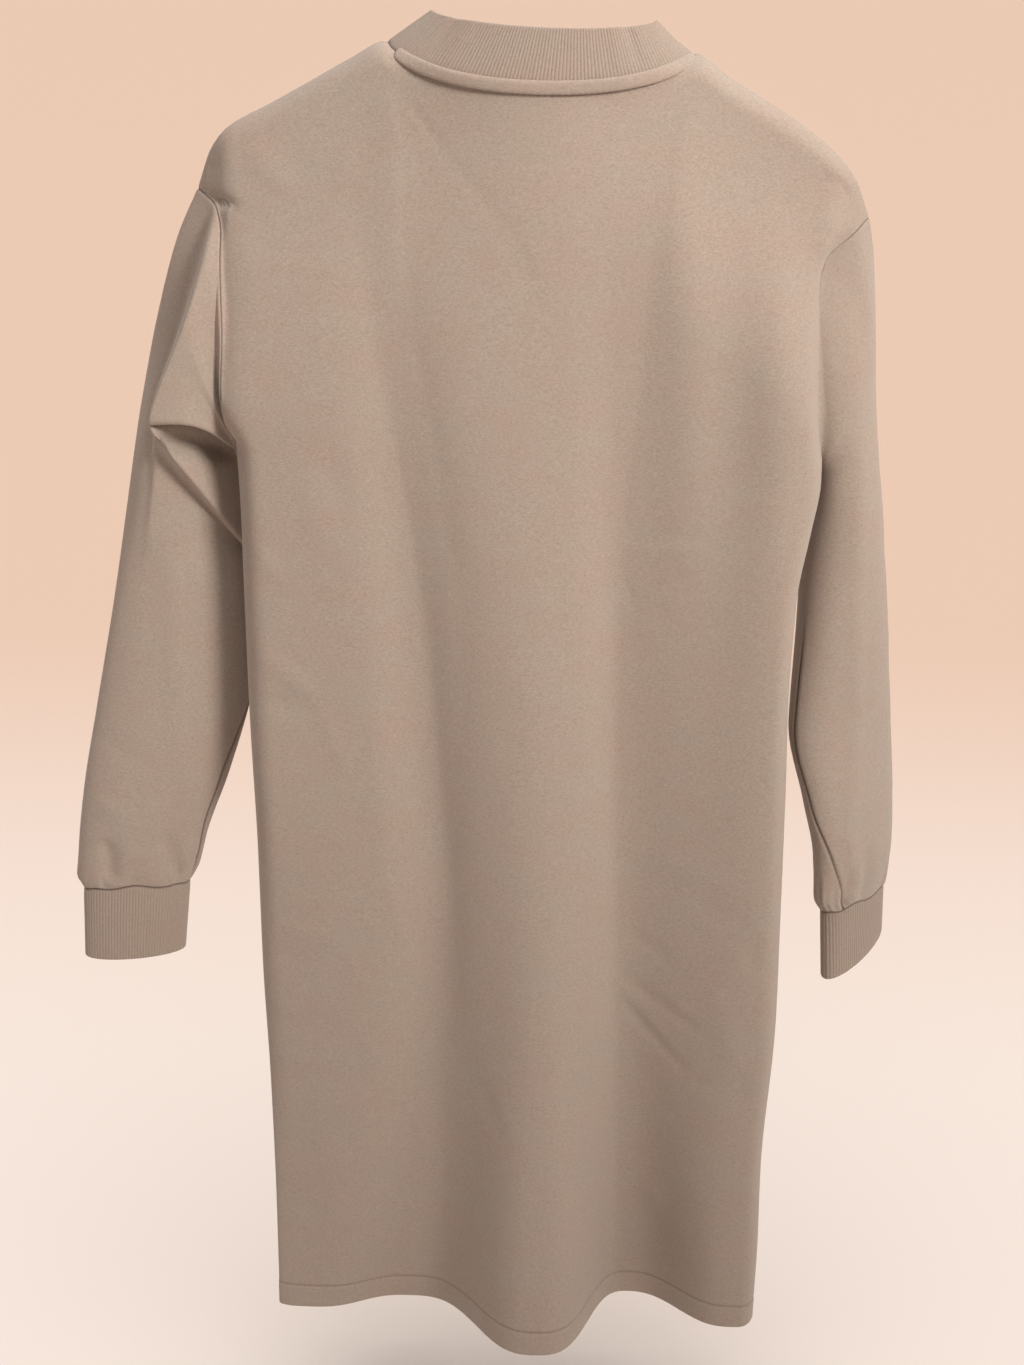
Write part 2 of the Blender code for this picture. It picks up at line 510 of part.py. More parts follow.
def common_normals(surfaces):
    """Normals of the middle surfaces, the same on both sides of each seam."""
    sums = {}
    for points, around in surfaces:
        grid = np.concatenate([points, points[:1]]) if around else points
        a, b = grid[:-1, :-1], grid[1:, :-1]
        c, d = grid[1:, 1:], grid[:-1, 1:]
        face = np.cross(d - b, c - a)
        face /= np.linalg.norm(face, axis=-1, keepdims=True) ** NORMAL_EVENNESS
        total = np.zeros_like(grid)
        for rows, columns in ((slice(0, -1), slice(0, -1)), (slice(1, None), slice(0, -1)),
                              (slice(1, None), slice(1, None)), (slice(0, -1), slice(1, None))):
            total[rows, columns] += face
        if around:
            total[0] += total[-1]
            total = total[:-1]
        for place, normal in zip(points.reshape(-1, 3), total.reshape(-1, 3)):
            key = tuple(np.round(place * 1e5).astype(int))
            sums[key] = sums.get(key, 0) + normal
    found = []
    for points, _ in surfaces:
        keys = np.round(points.reshape(-1, 3) * 1e5).astype(int)
        normal = np.array([sums[tuple(key)] for key in keys]).reshape(points.shape)
        found.append(normal / np.linalg.norm(normal, axis=-1, keepdims=True))
    return found


def drawn_in(points, normals, around):
    """The middle surface with its borders moved in by half the seam gap."""
    moved = points.copy()
    borders = [((slice(None), 0), (slice(None), 1)), ((slice(None), -1), (slice(None), -2))]
    if not around:
        borders += [((0, slice(None)), (1, slice(None))), ((-1, slice(None)), (-2, slice(None)))]
    for border, within in borders:
        line, normal = points[border], normals[border]
        if around:
            run = np.roll(line, -1, 0) - np.roll(line, 1, 0)
        else:
            run = np.gradient(line, axis=0)
        inward = np.cross(normal, run)
        inward /= np.linalg.norm(inward, axis=-1, keepdims=True)
        side = np.sign(np.sum(inward * (points[within] - line), -1, keepdims=True))
        move = SHOULDER_DRAW if border == (slice(None), 0) and not around else SEAM_GAP / 2
        moved[border] += inward * side * move
    return moved


def rim_faces(points, a, b, count):
    """The strip of rim between two border points, split the same way on both sides of a seam."""
    high = tuple(points[a][[2, 0, 1]]) > tuple(points[b][[2, 0, 1]])
    if high:
        return [(a, b, b + count), (a, b + count, a + count)]
    return [(a, b, a + count), (b, b + count, a + count)]


def wall_faces(points, around):
    """Faces of a wall whose outer points come first, then its inner points in the same order."""
    columns, rows = points.shape[:2]
    count = columns * rows
    flat = points.reshape(-1, 3)
    faces = []
    for i in range(columns if around else columns - 1):
        k = (i + 1) % columns
        for j in range(rows - 1):
            a, b, c, d = i * rows + j, k * rows + j, k * rows + j + 1, i * rows + j + 1
            faces.append((a, b, c, d))
            faces.append((d + count, c + count, b + count, a + count))
        faces += rim_faces(flat, i * rows, k * rows, count)
        faces += rim_faces(flat, i * rows + rows - 1, k * rows + rows - 1, count)
    if not around:
        for j in range(rows - 1):
            faces += rim_faces(flat, j, j + 1, count)
            faces += rim_faces(flat, (columns - 1) * rows + j, (columns - 1) * rows + j + 1, count)
    return faces


def around_line(line, normals, share):
    """Points and normals of a closed line of seam points at shares 0 to 1 of its length."""
    closed = np.concatenate([line, line[:1]])
    turned = np.concatenate([normals, normals[:1]])
    run = np.concatenate([[0], np.cumsum(np.linalg.norm(np.diff(closed, axis=0), axis=1))])
    at = share * run[-1]
    points = np.stack([np.interp(at, run, closed[:, a]) for a in range(3)], -1)
    facing = np.stack([np.interp(at, run, turned[:, a]) for a in range(3)], -1)
    return points, facing / np.linalg.norm(facing, axis=-1, keepdims=True)


def rib_levels(seam, normals, ends, share):
    """Middle points and normals of a rib ring at its levels: seam, body, near the end, end."""
    start, facing = around_line(seam, normals, share)
    stop, _ = around_line(ends, normals, share)
    reach = stop - start
    length = np.linalg.norm(reach, axis=-1, keepdims=True)
    run = np.roll(start + stop, -1, 0) - np.roll(start + stop, 1, 0)
    own = np.cross(reach, run)
    own /= np.linalg.norm(own, axis=-1, keepdims=True)
    own *= np.sign(np.sum(own * facing, -1, keepdims=True))
    start = start + reach / length * RIB_SEAM_GAP
    near = stop - reach / length * RIB_EDGE
    return [(start, facing), (near, own), (stop, own)]


def rib_ring(name, seam, normals, ends, ribs):
    """A ring of rib knit: each rib raised in the outer points over a plain inside."""
    outer_count, inner_count = ribs * 2, ribs // 2
    points, rings = [], []
    share = np.arange(outer_count) / outer_count
    raised = np.where(np.arange(outer_count) % 2 == 0, RIB_RAISE, 0.0)[:, None]
    for level, (middle, facing) in enumerate(rib_levels(seam, normals, ends, share)):
        size = RIB_EDGE_HALF if level == 2 else RIB_WALL / 2
        rings.append(range(len(points), len(points) + outer_count))
        points.extend(middle + facing * (size + raised))
    share = (np.arange(inner_count) * 4 + 1.5) / outer_count
    for level, (middle, facing) in reversed(
        list(enumerate(rib_levels(seam, normals, ends, share)))
    ):
        size = RIB_EDGE_HALF if level == 2 else RIB_WALL / 2
        rings.append(range(len(points), len(points) + inner_count))
        points.extend(middle - facing * size)
    faces = []
    for low, high in zip(rings, rings[1:] + rings[:1]):
        if len(low) == len(high):
            count = len(low)
            for k in range(count):
                m = (k + 1) % count
                faces.append((low[k], low[m], high[m], high[k]))
            continue
        many, few = (low, high) if len(low) > len(high) else (high, low)
        fan = []
        for k in range(inner_count):
            for q in range(4):
                fan.append((many[4 * k + q], many[(4 * k + q + 1) % outer_count], few[k]))
            fan.append((many[(4 * k + 4) % outer_count], few[(k + 1) % inner_count], few[k]))
        faces.extend(fan if many is low else [face[::-1] for face in fan])
    add_object(name, points, faces, RIB_CLOTH)


def walk(line, distance):
    """The point at this distance along a line of points."""
    run = np.concatenate([[0], np.cumsum(np.linalg.norm(np.diff(line, axis=0), axis=1))])
    return np.array([np.interp(distance, run, line[:, a]) for a in range(3)])


def neck_tape(panel, seam_normals, collar_seam, collar_ends, first):
    """The padded tape over the back neck seam, from points of the panel and the collar moved out."""
    sections = []
    count = NECK_COLUMNS + 1
    for k in range(count):
        column = first + k
        run = panel[min(column + 1, first + count - 1)] - panel[max(column - 1, first)]
        fall = panel[column, 1] - panel[column, 0]
        face = np.cross(fall, run[0])
        face /= np.linalg.norm(face)
        face *= np.sign(face @ seam_normals[k])
        rise = collar_ends[k] - collar_seam[k]
        rise /= np.linalg.norm(rise)
        lean = np.cross(rise, run[0])
        lean /= np.linalg.norm(lean)
        lean *= np.sign(lean @ seam_normals[k])
        section = []
        for up, out in zip(TAPE_SECTION["up"], TAPE_SECTION["out"]):
            if up < 0:
                section.append(walk(panel[column], -up) + face * out)
            elif up > 0:
                section.append(collar_seam[k] + rise * up + lean * out)
            else:
                section.append(collar_seam[k] + seam_normals[k] * out)
        sections.append(section)
    sections = np.array(sections)
    sections[0] += (sections[1] - sections[0]) * TAPE_END
    sections[-1] += (sections[-2] - sections[-1]) * TAPE_END
    size = sections.shape[1]
    faces = []
    for k in range(count - 1):
        for m in range(size):
            n = (m + 1) % size
            faces.append((k * size + m, k * size + n, (k + 1) * size + n, (k + 1) * size + m))
    faces.append(tuple(range(size))[::-1])
    faces.append(tuple((count - 1) * size + m for m in range(size)))
    add_object("neck_tape", sections.reshape(-1, 3), faces, FLEECE_CLOTH)


def add_object(name, points, faces, cloth):
    mesh = bpy.data.meshes.new(name)
    mesh.from_pydata([tuple(p) for p in points], [], faces)
    solid = bmesh.new()
    solid.from_mesh(mesh)
    bmesh.ops.recalc_face_normals(solid, faces=solid.faces)
    if solid.calc_volume(signed=True) < 0:
        bmesh.ops.reverse_faces(solid, faces=solid.faces)
    solid.to_mesh(mesh)
    solid.free()
    made = bpy.data.objects.new(name, mesh)
    DRESS.objects.link(made)
    material = bpy.data.materials.new(name + "_cloth")
    material.use_nodes = True
    shader = material.node_tree.nodes["Principled BSDF"]
    shader.inputs["Base Color"].default_value = (*cloth["colour"], 1.0)
    shader.inputs["Roughness"].default_value = cloth["roughness"]
    shader.inputs["Metallic"].default_value = 0.0
    mesh.materials.append(material)
    return made


def panel_wall(name, points, normals, around, inner_extra=None):
    middle = drawn_in(points, normals, around)
    inner = FLEECE / 2 + (0 if inner_extra is None else inner_extra)
    outer = middle + normals * FLEECE / 2
    within = middle - normals * np.broadcast_to(inner, points.shape[:2])[..., None]
    both = np.concatenate([outer.reshape(-1, 3), within.reshape(-1, 3)])
    add_object(name, both, wall_faces(points, around), FLEECE_CLOTH)


def cuff_end(x_sign, line):
    """The open end of a cuff, from the line of its seam."""
    which = 0 if x_sign < 0 else 1
    outer = np.array([CUFF_DRIFT["outer_" + a][which] for a in "xyz"])
    inner = np.array([CUFF_DRIFT["inner_" + a][which] for a in "xyz"])
    size = np.abs(line[:, :1])
    share = (size - size.min()) / (size.max() - size.min())
    return line + inner + (outer - inner) * share


def build_dress():
    panels = {side: body_surface(side) for side in ("back", "front")}
    sleeves = {sign: sleeve_surface(sign) for sign in (1, -1)}
    surfaces = [
        (panels["back"], False),
        (panels["front"][::-1], False),
        (sleeves[1], True),
        (sleeves[-1][::-1], True),
    ]
    normals = common_normals(surfaces)
    _, turns, first = body_places()
    count = len(turns)

    # The collar shares the normals of the neck seam with the panels.
    seam = np.concatenate([panels["back"][first : first + count, 0],
                           panels["front"][first : first + count, 0][-2:0:-1]])
    seam_turns = np.concatenate([turns, (math.pi - turns)[-2:0:-1]])
    ends = neck_ring(COLLAR_TOP, seam_turns)
    run = np.roll(seam, -1, 0) - np.roll(seam, 1, 0)
    face = np.cross(ends - seam, run)
    face /= np.linalg.norm(face, axis=-1, keepdims=True)
    front = normals[1][::-1]
    flat = np.concatenate([normals[0][first : first + count, 0],
                           front[first : first + count, 0][-2:0:-1]])
    face *= np.sign(np.sum(face * (seam - seam.mean(axis=0)), -1, keepdims=True))
    shared = face + flat
    shared /= np.linalg.norm(shared, axis=-1, keepdims=True)
    normals[0][first : first + count, 0] = shared[:count]
    front[first : first + count, 0] = np.concatenate([shared[:1], shared[count:][::-1],
                                                      shared[count - 1 : count]])
    normals[1] = front[::-1]

    hem = np.zeros(panels["back"].shape[1])
    hem[-2:] = HEM_EXTRA
    panel_wall("back_panel", panels["back"], normals[0], False, hem)
    panel_wall("front_panel", panels["front"][::-1], normals[1], False, hem)
    panel_wall("left_sleeve", sleeves[1], normals[2], True)
    panel_wall("right_sleeve", sleeves[-1][::-1], normals[3], True)
    rib_ring("neck_rib", seam, shared, ends, NECK_RIBS)
    neck_tape(panels["back"], shared[:count], seam, ends, first)
    for sign, name, middle, facing in (
        (1, "left_cuff", sleeves[1], normals[2]),
        (-1, "right_cuff", sleeves[-1][::-1], normals[3]),
    ):
        line = middle[:, -1]
        rib_ring(name, line, facing[:, -1], cuff_end(sign, line), CUFF_RIBS)


for leftover in list(bpy.data.objects):
    bpy.data.objects.remove(leftover)
DRESS = bpy.data.collections.new("sweatshirt_dress")
bpy.context.scene.collection.children.link(DRESS)
build_dress()
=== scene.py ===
"""Sweatshirt dress of brushed fleece with ribbed collar and cuffs, hung and filled out.

Metres. +Z is up, the back of the dress faces +Y and the wearer's left is +X.
Each cut piece is a thin shell on the form of its solid, with its creases placed one by one.
"""

import math

import bpy
import numpy as np
from mathutils import Matrix, Vector


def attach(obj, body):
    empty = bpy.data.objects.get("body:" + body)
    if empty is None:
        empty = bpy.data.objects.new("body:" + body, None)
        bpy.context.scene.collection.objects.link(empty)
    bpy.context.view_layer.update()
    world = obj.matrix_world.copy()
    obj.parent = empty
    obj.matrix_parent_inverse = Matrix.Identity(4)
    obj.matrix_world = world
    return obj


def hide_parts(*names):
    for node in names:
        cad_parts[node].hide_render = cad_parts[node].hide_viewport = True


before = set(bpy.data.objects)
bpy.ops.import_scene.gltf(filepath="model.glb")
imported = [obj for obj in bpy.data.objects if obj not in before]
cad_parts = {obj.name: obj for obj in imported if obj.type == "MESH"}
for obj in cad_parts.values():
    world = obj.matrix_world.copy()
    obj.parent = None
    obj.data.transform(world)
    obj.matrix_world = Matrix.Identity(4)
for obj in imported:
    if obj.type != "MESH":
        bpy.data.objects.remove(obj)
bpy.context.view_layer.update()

FLEECE = 0.0018  # thickness of the fleece
RIB_WALL = 0.0022  # thickness of the rib knit without its ribs
RIB_RAISE = 0.00042  # height of one rib
HEM_TURN = 0.021  # height of the hem turned up
HEM_EXTRA = 0.0011  # what the turned up layer adds inside
SEAM_SHADE_WIDTH = 0.0007  # width of the painted shade along a seam, which also stands for its dark thread

NECK_HALF = 0.095  # neck seam, centre to neck point
SHOULDER_END = 0.2155  # half the width between the two shoulder ends
SHOULDER_DEPTH = 0.4  # depth just below the shoulder seams, as a share of the body's depth
SHOULDER_SPREAD = 0.085  # how far from the centre the neck keeps the body open
SHOULDER_FALL = 0.16  # how far below the shoulder seams the full depth is reached
SHOULDER_FLARE = 0.022  # what the body gains in half width at the shoulders
TOP_TURN = 0.012  # radius of the turn over the shoulder seams
SHOULDER_BLEND = 0.06  # how far down the flare of the shoulders goes
NECK_BLEND = 0.03  # how far down the columns keep their places at the neck seam
NECK_SLACK = 0.005  # how far past the neck point a column still keeps its place
FOLD_CALM = 0.05  # strip along the sides in which the soft folds die out
SIDE_DEPTH = 0.19  # distance from the centre at which the depth lost to the sides is measured
HEM_DOWN = 0.9595  # shoulder seam at the neck to the hem
NECK_COLUMNS = 51  # columns of a panel between the neck points
NECK_EVEN = 0.4  # how evenly they are spread: 1 evenly across, 0 evenly round the neck
NECK_RIBS = 216
CUFF_RIBS = 78

# Rings round the neck: half width, depth to the back and the front, how far the centre back
# and the centre front lie below the sides, and how high the two sides rise.
NECK_SEAM = dict(half=NECK_HALF, shift=0.0, back_deep=0.037, front_deep=0.06, back_drop=0.0165,
                 front_drop=0.066, left_rise=0.0035, right_rise=0.001, rise_power=3)
COLLAR_TOP = dict(half=0.0685, shift=-0.002, back_deep=0.031, front_deep=0.05, back_drop=0.0045,
                  front_drop=0.055, left_rise=0.0235, right_rise=0.021, rise_power=0)
NECK_CURVE = 1.4  # how flat both rings are at their centres


FOLD = "down centre left right height"
CREASE = "x down to_x to_down width height"
SHARES = "t side share power crisp back_loss front_loss late_x late_y late_z crowd amount".split()


def table(names, *rows):
    """A table with named columns: shares as they stand, lengths in millimetres turned to metres."""
    columns = zip(names.split(), np.array(rows, float).T)
    return {name: column if name in SHARES else column / 1000 for name, column in columns}


def smooth(xs, ys, at):
    """Monotone cubic through the points, flat beyond both ends."""
    step = np.diff(xs)
    slope = np.diff(ys) / step
    product = slope[:-1] * slope[1:]
    total = np.where(product > 0, slope[:-1] + slope[1:], 1.0)
    inner = np.where(product > 0, 2 * product / total, 0.0)
    bend = np.concatenate([slope[:1], inner, slope[-1:]])
    at = np.clip(at, xs[0], xs[-1])
    k = np.clip(np.searchsorted(xs, at, "right") - 1, 0, len(xs) - 2)
    t = (at - xs[k]) / step[k]
    a = (1 + 2 * t) * (1 - t) ** 2 * ys[k] + t * t * (3 - 2 * t) * ys[k + 1]
    return a + step[k] * t * (1 - t) * ((1 - t) * bend[k] - t * bend[k + 1])


def along(rows, column, at, key="down"):
    return smooth(rows[key], rows[column], at)


def at_side(rows, off, down):
    """The left column of a table where off is above 0, and else the right one."""
    return np.where(off > 0, along(rows, "left", down), along(rows, "right", down))


def ends_at(rows, name, t):
    """Points of one end of a sleeve's sections."""
    return np.stack([along(rows, name + axis, t, "t") for axis in ("_x", "_y", "_z")], -1)


def ease(value):
    value = np.clip(value, 0.0, 1.0)
    return value * value * (3 - 2 * value)


def round_off(value):
    """Quarter circle from 0 to 1, upright at 0."""
    value = np.clip(value, 0.0, 1.0)
    return np.sqrt(np.maximum(0.0, 1 - (1 - value) ** 2))


def bell(value, width):
    """A smooth rise to 1 where the value is 0."""
    return np.exp(-((value / width) ** 2))


def unit(vectors):
    return vectors / np.linalg.norm(vectors, axis=-1, keepdims=True)


def run_along(points, axis=0):
    """How far along its line each point lies, from the line's first point."""
    step = np.linalg.norm(np.diff(points, axis=axis), axis=-1)
    return np.concatenate([np.zeros_like(np.take(step, [0], axis)), np.cumsum(step, axis=axis)], axis)


def at_run(at, run, line):
    """Points of a line at the given distances along it."""
    return np.stack([np.interp(at, run, line[:, a]) for a in range(3)], -1)


def joined(there, back):
    """A closed line: along one branch, and back along the other without its two ends."""
    return np.concatenate([there, back[-2:0:-1]])


def corners(grid):
    """The four corners of every face of a grid, in order round it."""
    return grid[:-1, :-1], grid[1:, :-1], grid[1:, 1:], grid[:-1, 1:]


# Top line of the body: shoulder seams beyond the neck points. down = -z.
TOP_LINE = table(
    "x down",
    (-214.5, 97), (-210.5, 88), (-203.5, 73.5), (-194.5, 62), (-178, 47.8), (-159.4, 35.5), (-118.9, 12.5),
    (-95, -2), (95, -4.5), (118.4, 6.8), (143, 20.7), (169, 35.2), (195, 49.5), (206.5, 63), (213.5, 80),
    (216.5, 89),
)

# Panel edges: armhole down to the underarm, then the side seam.
LEFT_EDGE = table(
    "down back_x back_y front_x front_y",
    (89, 216.5, -8, 216.5, -8), (98, 204, 5, 208, -21), (114, 200.5, 12, 202, -31),
    (130, 200.8, 18, 198.5, -35), (172, 199.8, 26.5, 194, -37), (212, 201.4, 27, 192.5, -32),
    (232, 200.5, 19, 193, -23), (244, 197.5, 7, 194, -12), (252, 195, -2, 195, -2),
    (300, 192.5, 3, 192.5, 3), (360, 191.5, 5, 191.5, 5), (450, 190, 5, 190, 5), (550, 187, 4, 187, 4),
    (650, 185.5, 4, 185.5, 4), (750, 182, 4, 182, 4), (850, 180.3, 4, 180.3, 4), (960, 179.6, 4, 179.6, 4),
)
RIGHT_EDGE = table(
    "down back_x back_y front_x front_y",
    (97, -214.5, -12, -214.5, -12), (105, -205, -1, -208, -23), (120, -187.5, 3, -201, -32),
    (135, -184, 3, -197.5, -36), (172, -186.2, 1, -194, -37), (212, -188.5, 0, -193, -32),
    (238, -191.5, -3, -193.5, -22), (248, -193.5, -5, -194.5, -14), (256, -195.5, -8, -195.5, -8),
    (269, -195.7, -4, -195.7, -4), (300, -191.5, 2, -191.5, 2), (350, -185, 4, -185, 4),
    (400, -184.5, 4, -184.5, 4), (500, -188.5, 4, -188.5, 4), (600, -192.3, 4, -192.3, 4),
    (700, -195.5, 4, -195.5, 4), (800, -193.2, 4, -193.2, 4), (900, -196.3, 4, -196.3, 4),
    (960, -196.8, 4, -196.8, 4),
)

# Depth of the two panels before their folds, and how much of it is lost towards the sides.
BODY_DEPTH = table(
    "down back front back_loss front_loss",
    (-10, 36, -52, 0.35, 0.35), (80, 36, -52, 0.28, 0.28), (140, 35, -51, 0.12, 0.3),
    (220, 34, -50, 0.1, 0.55), (270, 33, -48, 0.2, 0.8), (450, 29, -46, 0.2, 0.8), (600, 26, -44, 0.2, 0.6),
    (800, 17, -42, 0.2, 0.5), (960, 10, -40, 0.2, 0.4),
)

# How flat the crests of the folds are: they are rounder at the top and flatter at the hem.
FOLD_FLATNESS = table("down power", (600, 2.1), (700, 2.27), (775, 2.5), (850, 2.73), (950, 2.9))

# Folds that run down the panels. Each has its centre, its half widths towards the
# wearer's left and right, and its height, at rows down the body.
BACK_PIPE = table(
    FOLD,
    (50, 20, 70, 70, 0), (200, 15, 52, 50, 3), (360, 2, 48, 42, 9), (550, -12, 42, 40, 15),
    (700, -19, 41, 40, 23), (820, -22, 43, 42, 34), (920, -24, 47, 44, 45), (960, -24, 47, 45, 49),
)
BACK_LEFT_VALLEY = table(
    FOLD,
    (80, 98, 26, 30, -1), (250, 86, 24, 28, -5), (440, 69, 23, 24, -7), (600, 58, 24, 22, -9),
    (800, 66, 34, 30, -12), (960, 76, 45, 43, -18),
)
BACK_RIGHT_VALLEY = table(
    FOLD,
    (100, -52, 22, 34, -1), (250, -58, 20, 36, -5), (360, -62, 18, 38, -8), (600, -76, 20, 38, -11),
    (800, -86, 26, 42, -19), (920, -92, 30, 48, -28), (960, -93, 31, 50, -30),
)
FRONT_LEFT_PIPE = table(
    FOLD,
    (120, 45, 50, 50, 0), (400, 60, 45, 45, -8), (700, 72, 42, 42, -20), (960, 80, 40, 42, -40),
)
FRONT_RIGHT_PIPE = table(
    FOLD,
    (120, -50, 50, 50, 0), (400, -70, 45, 45, -7), (700, -84, 42, 42, -17), (960, -92, 42, 40, -34),
)
FRONT_CENTRE_VALLEY = table(
    FOLD,
    (150, 4, 40, 40, 0), (500, -2, 36, 36, 4), (960, -8, 34, 34, 8),
)
# Folds right at the sides of the back: its right side rises to a rounded ridge beside
# the side seam, and its left side falls away.
BACK_RIGHT_EDGE = table(
    FOLD,
    (100, -160, 30, 30, 0), (200, -168, 30, 26, 5), (340, -174, 38, 26, 10), (600, -180, 44, 26, 13),
    (800, -184, 46, 26, 13), (960, -186, 48, 28, 12),
)
BACK_LEFT_EDGE = table(
    FOLD,
    (500, 200, 40, 40, 0), (650, 196, 40, 42, -5), (800, 192, 40, 44, -5), (920, 189, 40, 44, -2),
    (960, 188, 40, 44, 0),
)
EDGE_FOLDS = {"back": (BACK_RIGHT_EDGE, BACK_LEFT_EDGE), "front": ()}
FOLDS = {
    "back": (BACK_PIPE, BACK_LEFT_VALLEY, BACK_RIGHT_VALLEY),
    "front": (FRONT_LEFT_PIPE, FRONT_RIGHT_PIPE, FRONT_CENTRE_VALLEY),
}
UNDERARM_DOWN = {1: 0.252, -1: 0.256}

# Width of the turn from the panels to their edges at the two sides, and how crisp its
# fold is: the back ends in a crisp fold at each shoulder, short of the armhole.
SIDE_TURN = table(
    "down left right crisp",
    (45, 17, 18, 0.6), (60, 21.5, 24, 1), (95, 21, 27.5, 1), (99, 8.5, 24, 1), (106, 6, 19, 0.9),
    (118, 4.5, 6, 0.7), (135, 4.5, 5.5, 0.6), (170, 7, 9, 0.3), (220, 15, 12, 0),
)
SHOULDER_TIP = table("side x y", (-1, -214.5, -12), (1, 216.5, -8))
SIDE_TURN_FRONT = (0.017, 0.012)  # the same width on the front, left and right
TIP_SPAN = 0.0145  # length of the shoulder seam's end that dips to the tip
BODY_HALF = {1: 0.1945, -1: 0.1925}  # half width of the body to its left and its right

# Sleeve sections: the outer and the inner end of each ring and its depth to each side.
LEFT_SLEEVE = table(
    "t outer_x outer_y outer_z inner_x inner_y inner_z back front",
    (0, 216.5, -8, -89, 195, -2, -252, 30, 30), (0.08, 231, -11, -120, 197, -6, -256.5, 22, 34),
    (0.18, 246.5, -12, -172, 198.5, -11, -261, 18, 36), (0.28, 258.5, -12, -225, 198.5, -16, -266, 17, 34),
    (0.32, 262.2, -12, -243, 197, -20, -272, 18, 32), (0.42, 273.5, -13, -306, 190, -29, -312, 19, 28),
    (0.54, 285.5, -14, -372, 188.5, -32, -376, 20, 25), (0.68, 302, -14, -454, 195, -31, -443, 20, 23),
    (0.8, 314, -13, -515, 212, -30, -506, 20, 22), (0.9, 320.5, -12, -562, 230, -30, -556, 19, 20),
    (0.96, 322.5, -11, -588, 237.5, -29, -585, 15, 16), (1, 318.5, -12, -596.5, 244.5, -28, -596.5, 13, 13),
)
RIGHT_SLEEVE = table(
    "t outer_x outer_y outer_z inner_x inner_y inner_z back front",
    (0, -214.5, -12, -97, -195.5, -8, -256, 14, 30), (0.08, -221, -22, -120, -197.5, -13, -260, 15, 30),
    (0.18, -228.5, -32, -172, -198.5, -19, -266, 18, 30), (0.28, -234, -39, -225, -198, -22, -276, 22, 30),
    (0.32, -236, -40, -243, -197.5, -22, -287, 24, 29),
    (0.42, -243.5, -44, -306, -196.5, -17, -322, 26, 28),
    (0.54, -252.5, -48, -372, -195.8, -9, -380, 26, 26), (0.68, -264.5, -52, -454, -193.5, 0, -450, 24, 24),
    (0.8, -271, -54, -515, -208, 8, -508, 22, 22), (0.9, -273.5, -54, -558, -219, 12, -552, 20, 20),
    (0.96, -274.5, -54, -582, -220.5, 13, -580, 16, 16), (1, -272, -49, -590, -226.5, 7, -592, 14, 14),
)

# The corner of cloth folded up behind the left underarm. Its crest runs out from the
# armhole to a tip, turns under at a mouth and runs back to the side of the body.
# Each row is one section: the crest point, where the section ends at the body, how late
# the section turns on its way there in x, y and z, and how close the valley lies to the crest.
UNDERARM_FOLD = table(
    "t crest_x crest_y crest_z end_x end_y end_z late_x late_y late_z crowd amount",
    (0, 200.4, 24, -118.3, 195, -2, -252, 3, 4, 1, 1, 1),
    (0.08, 208.5, 29, -136, 196, -4, -255.5, 3, 5, 1.2, 0.7, 1),
    (0.18, 226, 30, -178, 196.5, -7, -259.5, 1.5, 4.5, 1.9, 0.45, 1),
    (0.28, 247.5, 30, -232.5, 197, -10, -263.5, 1.1, 4, 4, 0.35, 1),
    (0.3, 248, 26, -237, 197, -17, -266.5, 1, 0.6, 4, 0.35, 1),
    (0.34, 247.5, 26, -240, 194.5, -20, -292, 1, 0.8, 1.4, 0.35, 1),
    (0.38, 246, 26, -243, 190.5, -18, -334, 1, 1, 1, 0.35, 1),
    (0.42, 247, 8, -256, 188.5, -28, -350, 1, 1, 1, 0.45, 0.85),
    (0.5, 257, 6, -330, 188.3, -31, -370, 1, 1, 1, 0.6, 0),
    (1, 300, 0, -590, 244, -28, -592, 1, 1, 1, 1, 0),
)
CREST = 0.18  # where the crest lies on the way around, from the outer line to the inner
CREST_FOOT = 0.8  # where the cloth starts to rise to the crest, as a share of the way to it
FOLD_VALLEY = 0.016  # how far behind the outer line the cloth beside the crest lies
SLEEVE_SET_IN = 0.18  # share of the sleeve over which it takes the shape of the armhole

# From the cuff seam to the cuff's open end, at its outer and its inner side.
CUFF_DRIFT = table(
    "side outer_x outer_y outer_z inner_x inner_y inner_z",
    (-1, -7, -22, -54, -6, -4, -60.5), (1, 2, 0, -59.5, 6, 0, -59),
)


def bump(fold, x, down):
    """One soft fold: its height where x lies near its centre."""
    off = x - along(fold, "centre", down)
    reach = np.abs(off) / at_side(fold, off, down)
    return along(fold, "height", down) * np.exp(-reach ** along(FOLD_FLATNESS, "power", down))


def neck_ring(sizes, turn):
    """A ring round the neck: turn 0 is the centre back, +90 degrees the wearer's left."""
    across = np.sin(turn)
    back = np.cos(turn)
    deep = np.where(back > 0, sizes["back_deep"], sizes["front_deep"]) * back
    drop = np.where(back > 0, sizes["back_drop"], sizes["front_drop"]) * np.abs(back) ** NECK_CURVE
    rise = (sizes["left_rise"] + sizes["right_rise"]) / 2
    rise = rise + (sizes["left_rise"] - sizes["right_rise"]) / 2 * across
    rise = rise * np.abs(across) ** sizes["rise_power"]
    return np.stack([sizes["half"] * across + sizes["shift"], deep, rise - drop], -1)


def body_edge(x_sign, side, down):
    edge = LEFT_EDGE if x_sign > 0 else RIGHT_EDGE
    below = {name: edge[name][edge["down"] >= UNDERARM_DOWN[x_sign]] for name in edge}
    seam = down >= UNDERARM_DOWN[x_sign]
    return [np.where(seam, along(below, side + axis, down), along(edge, side + axis, down))
            for axis in ("_x", "_y")]


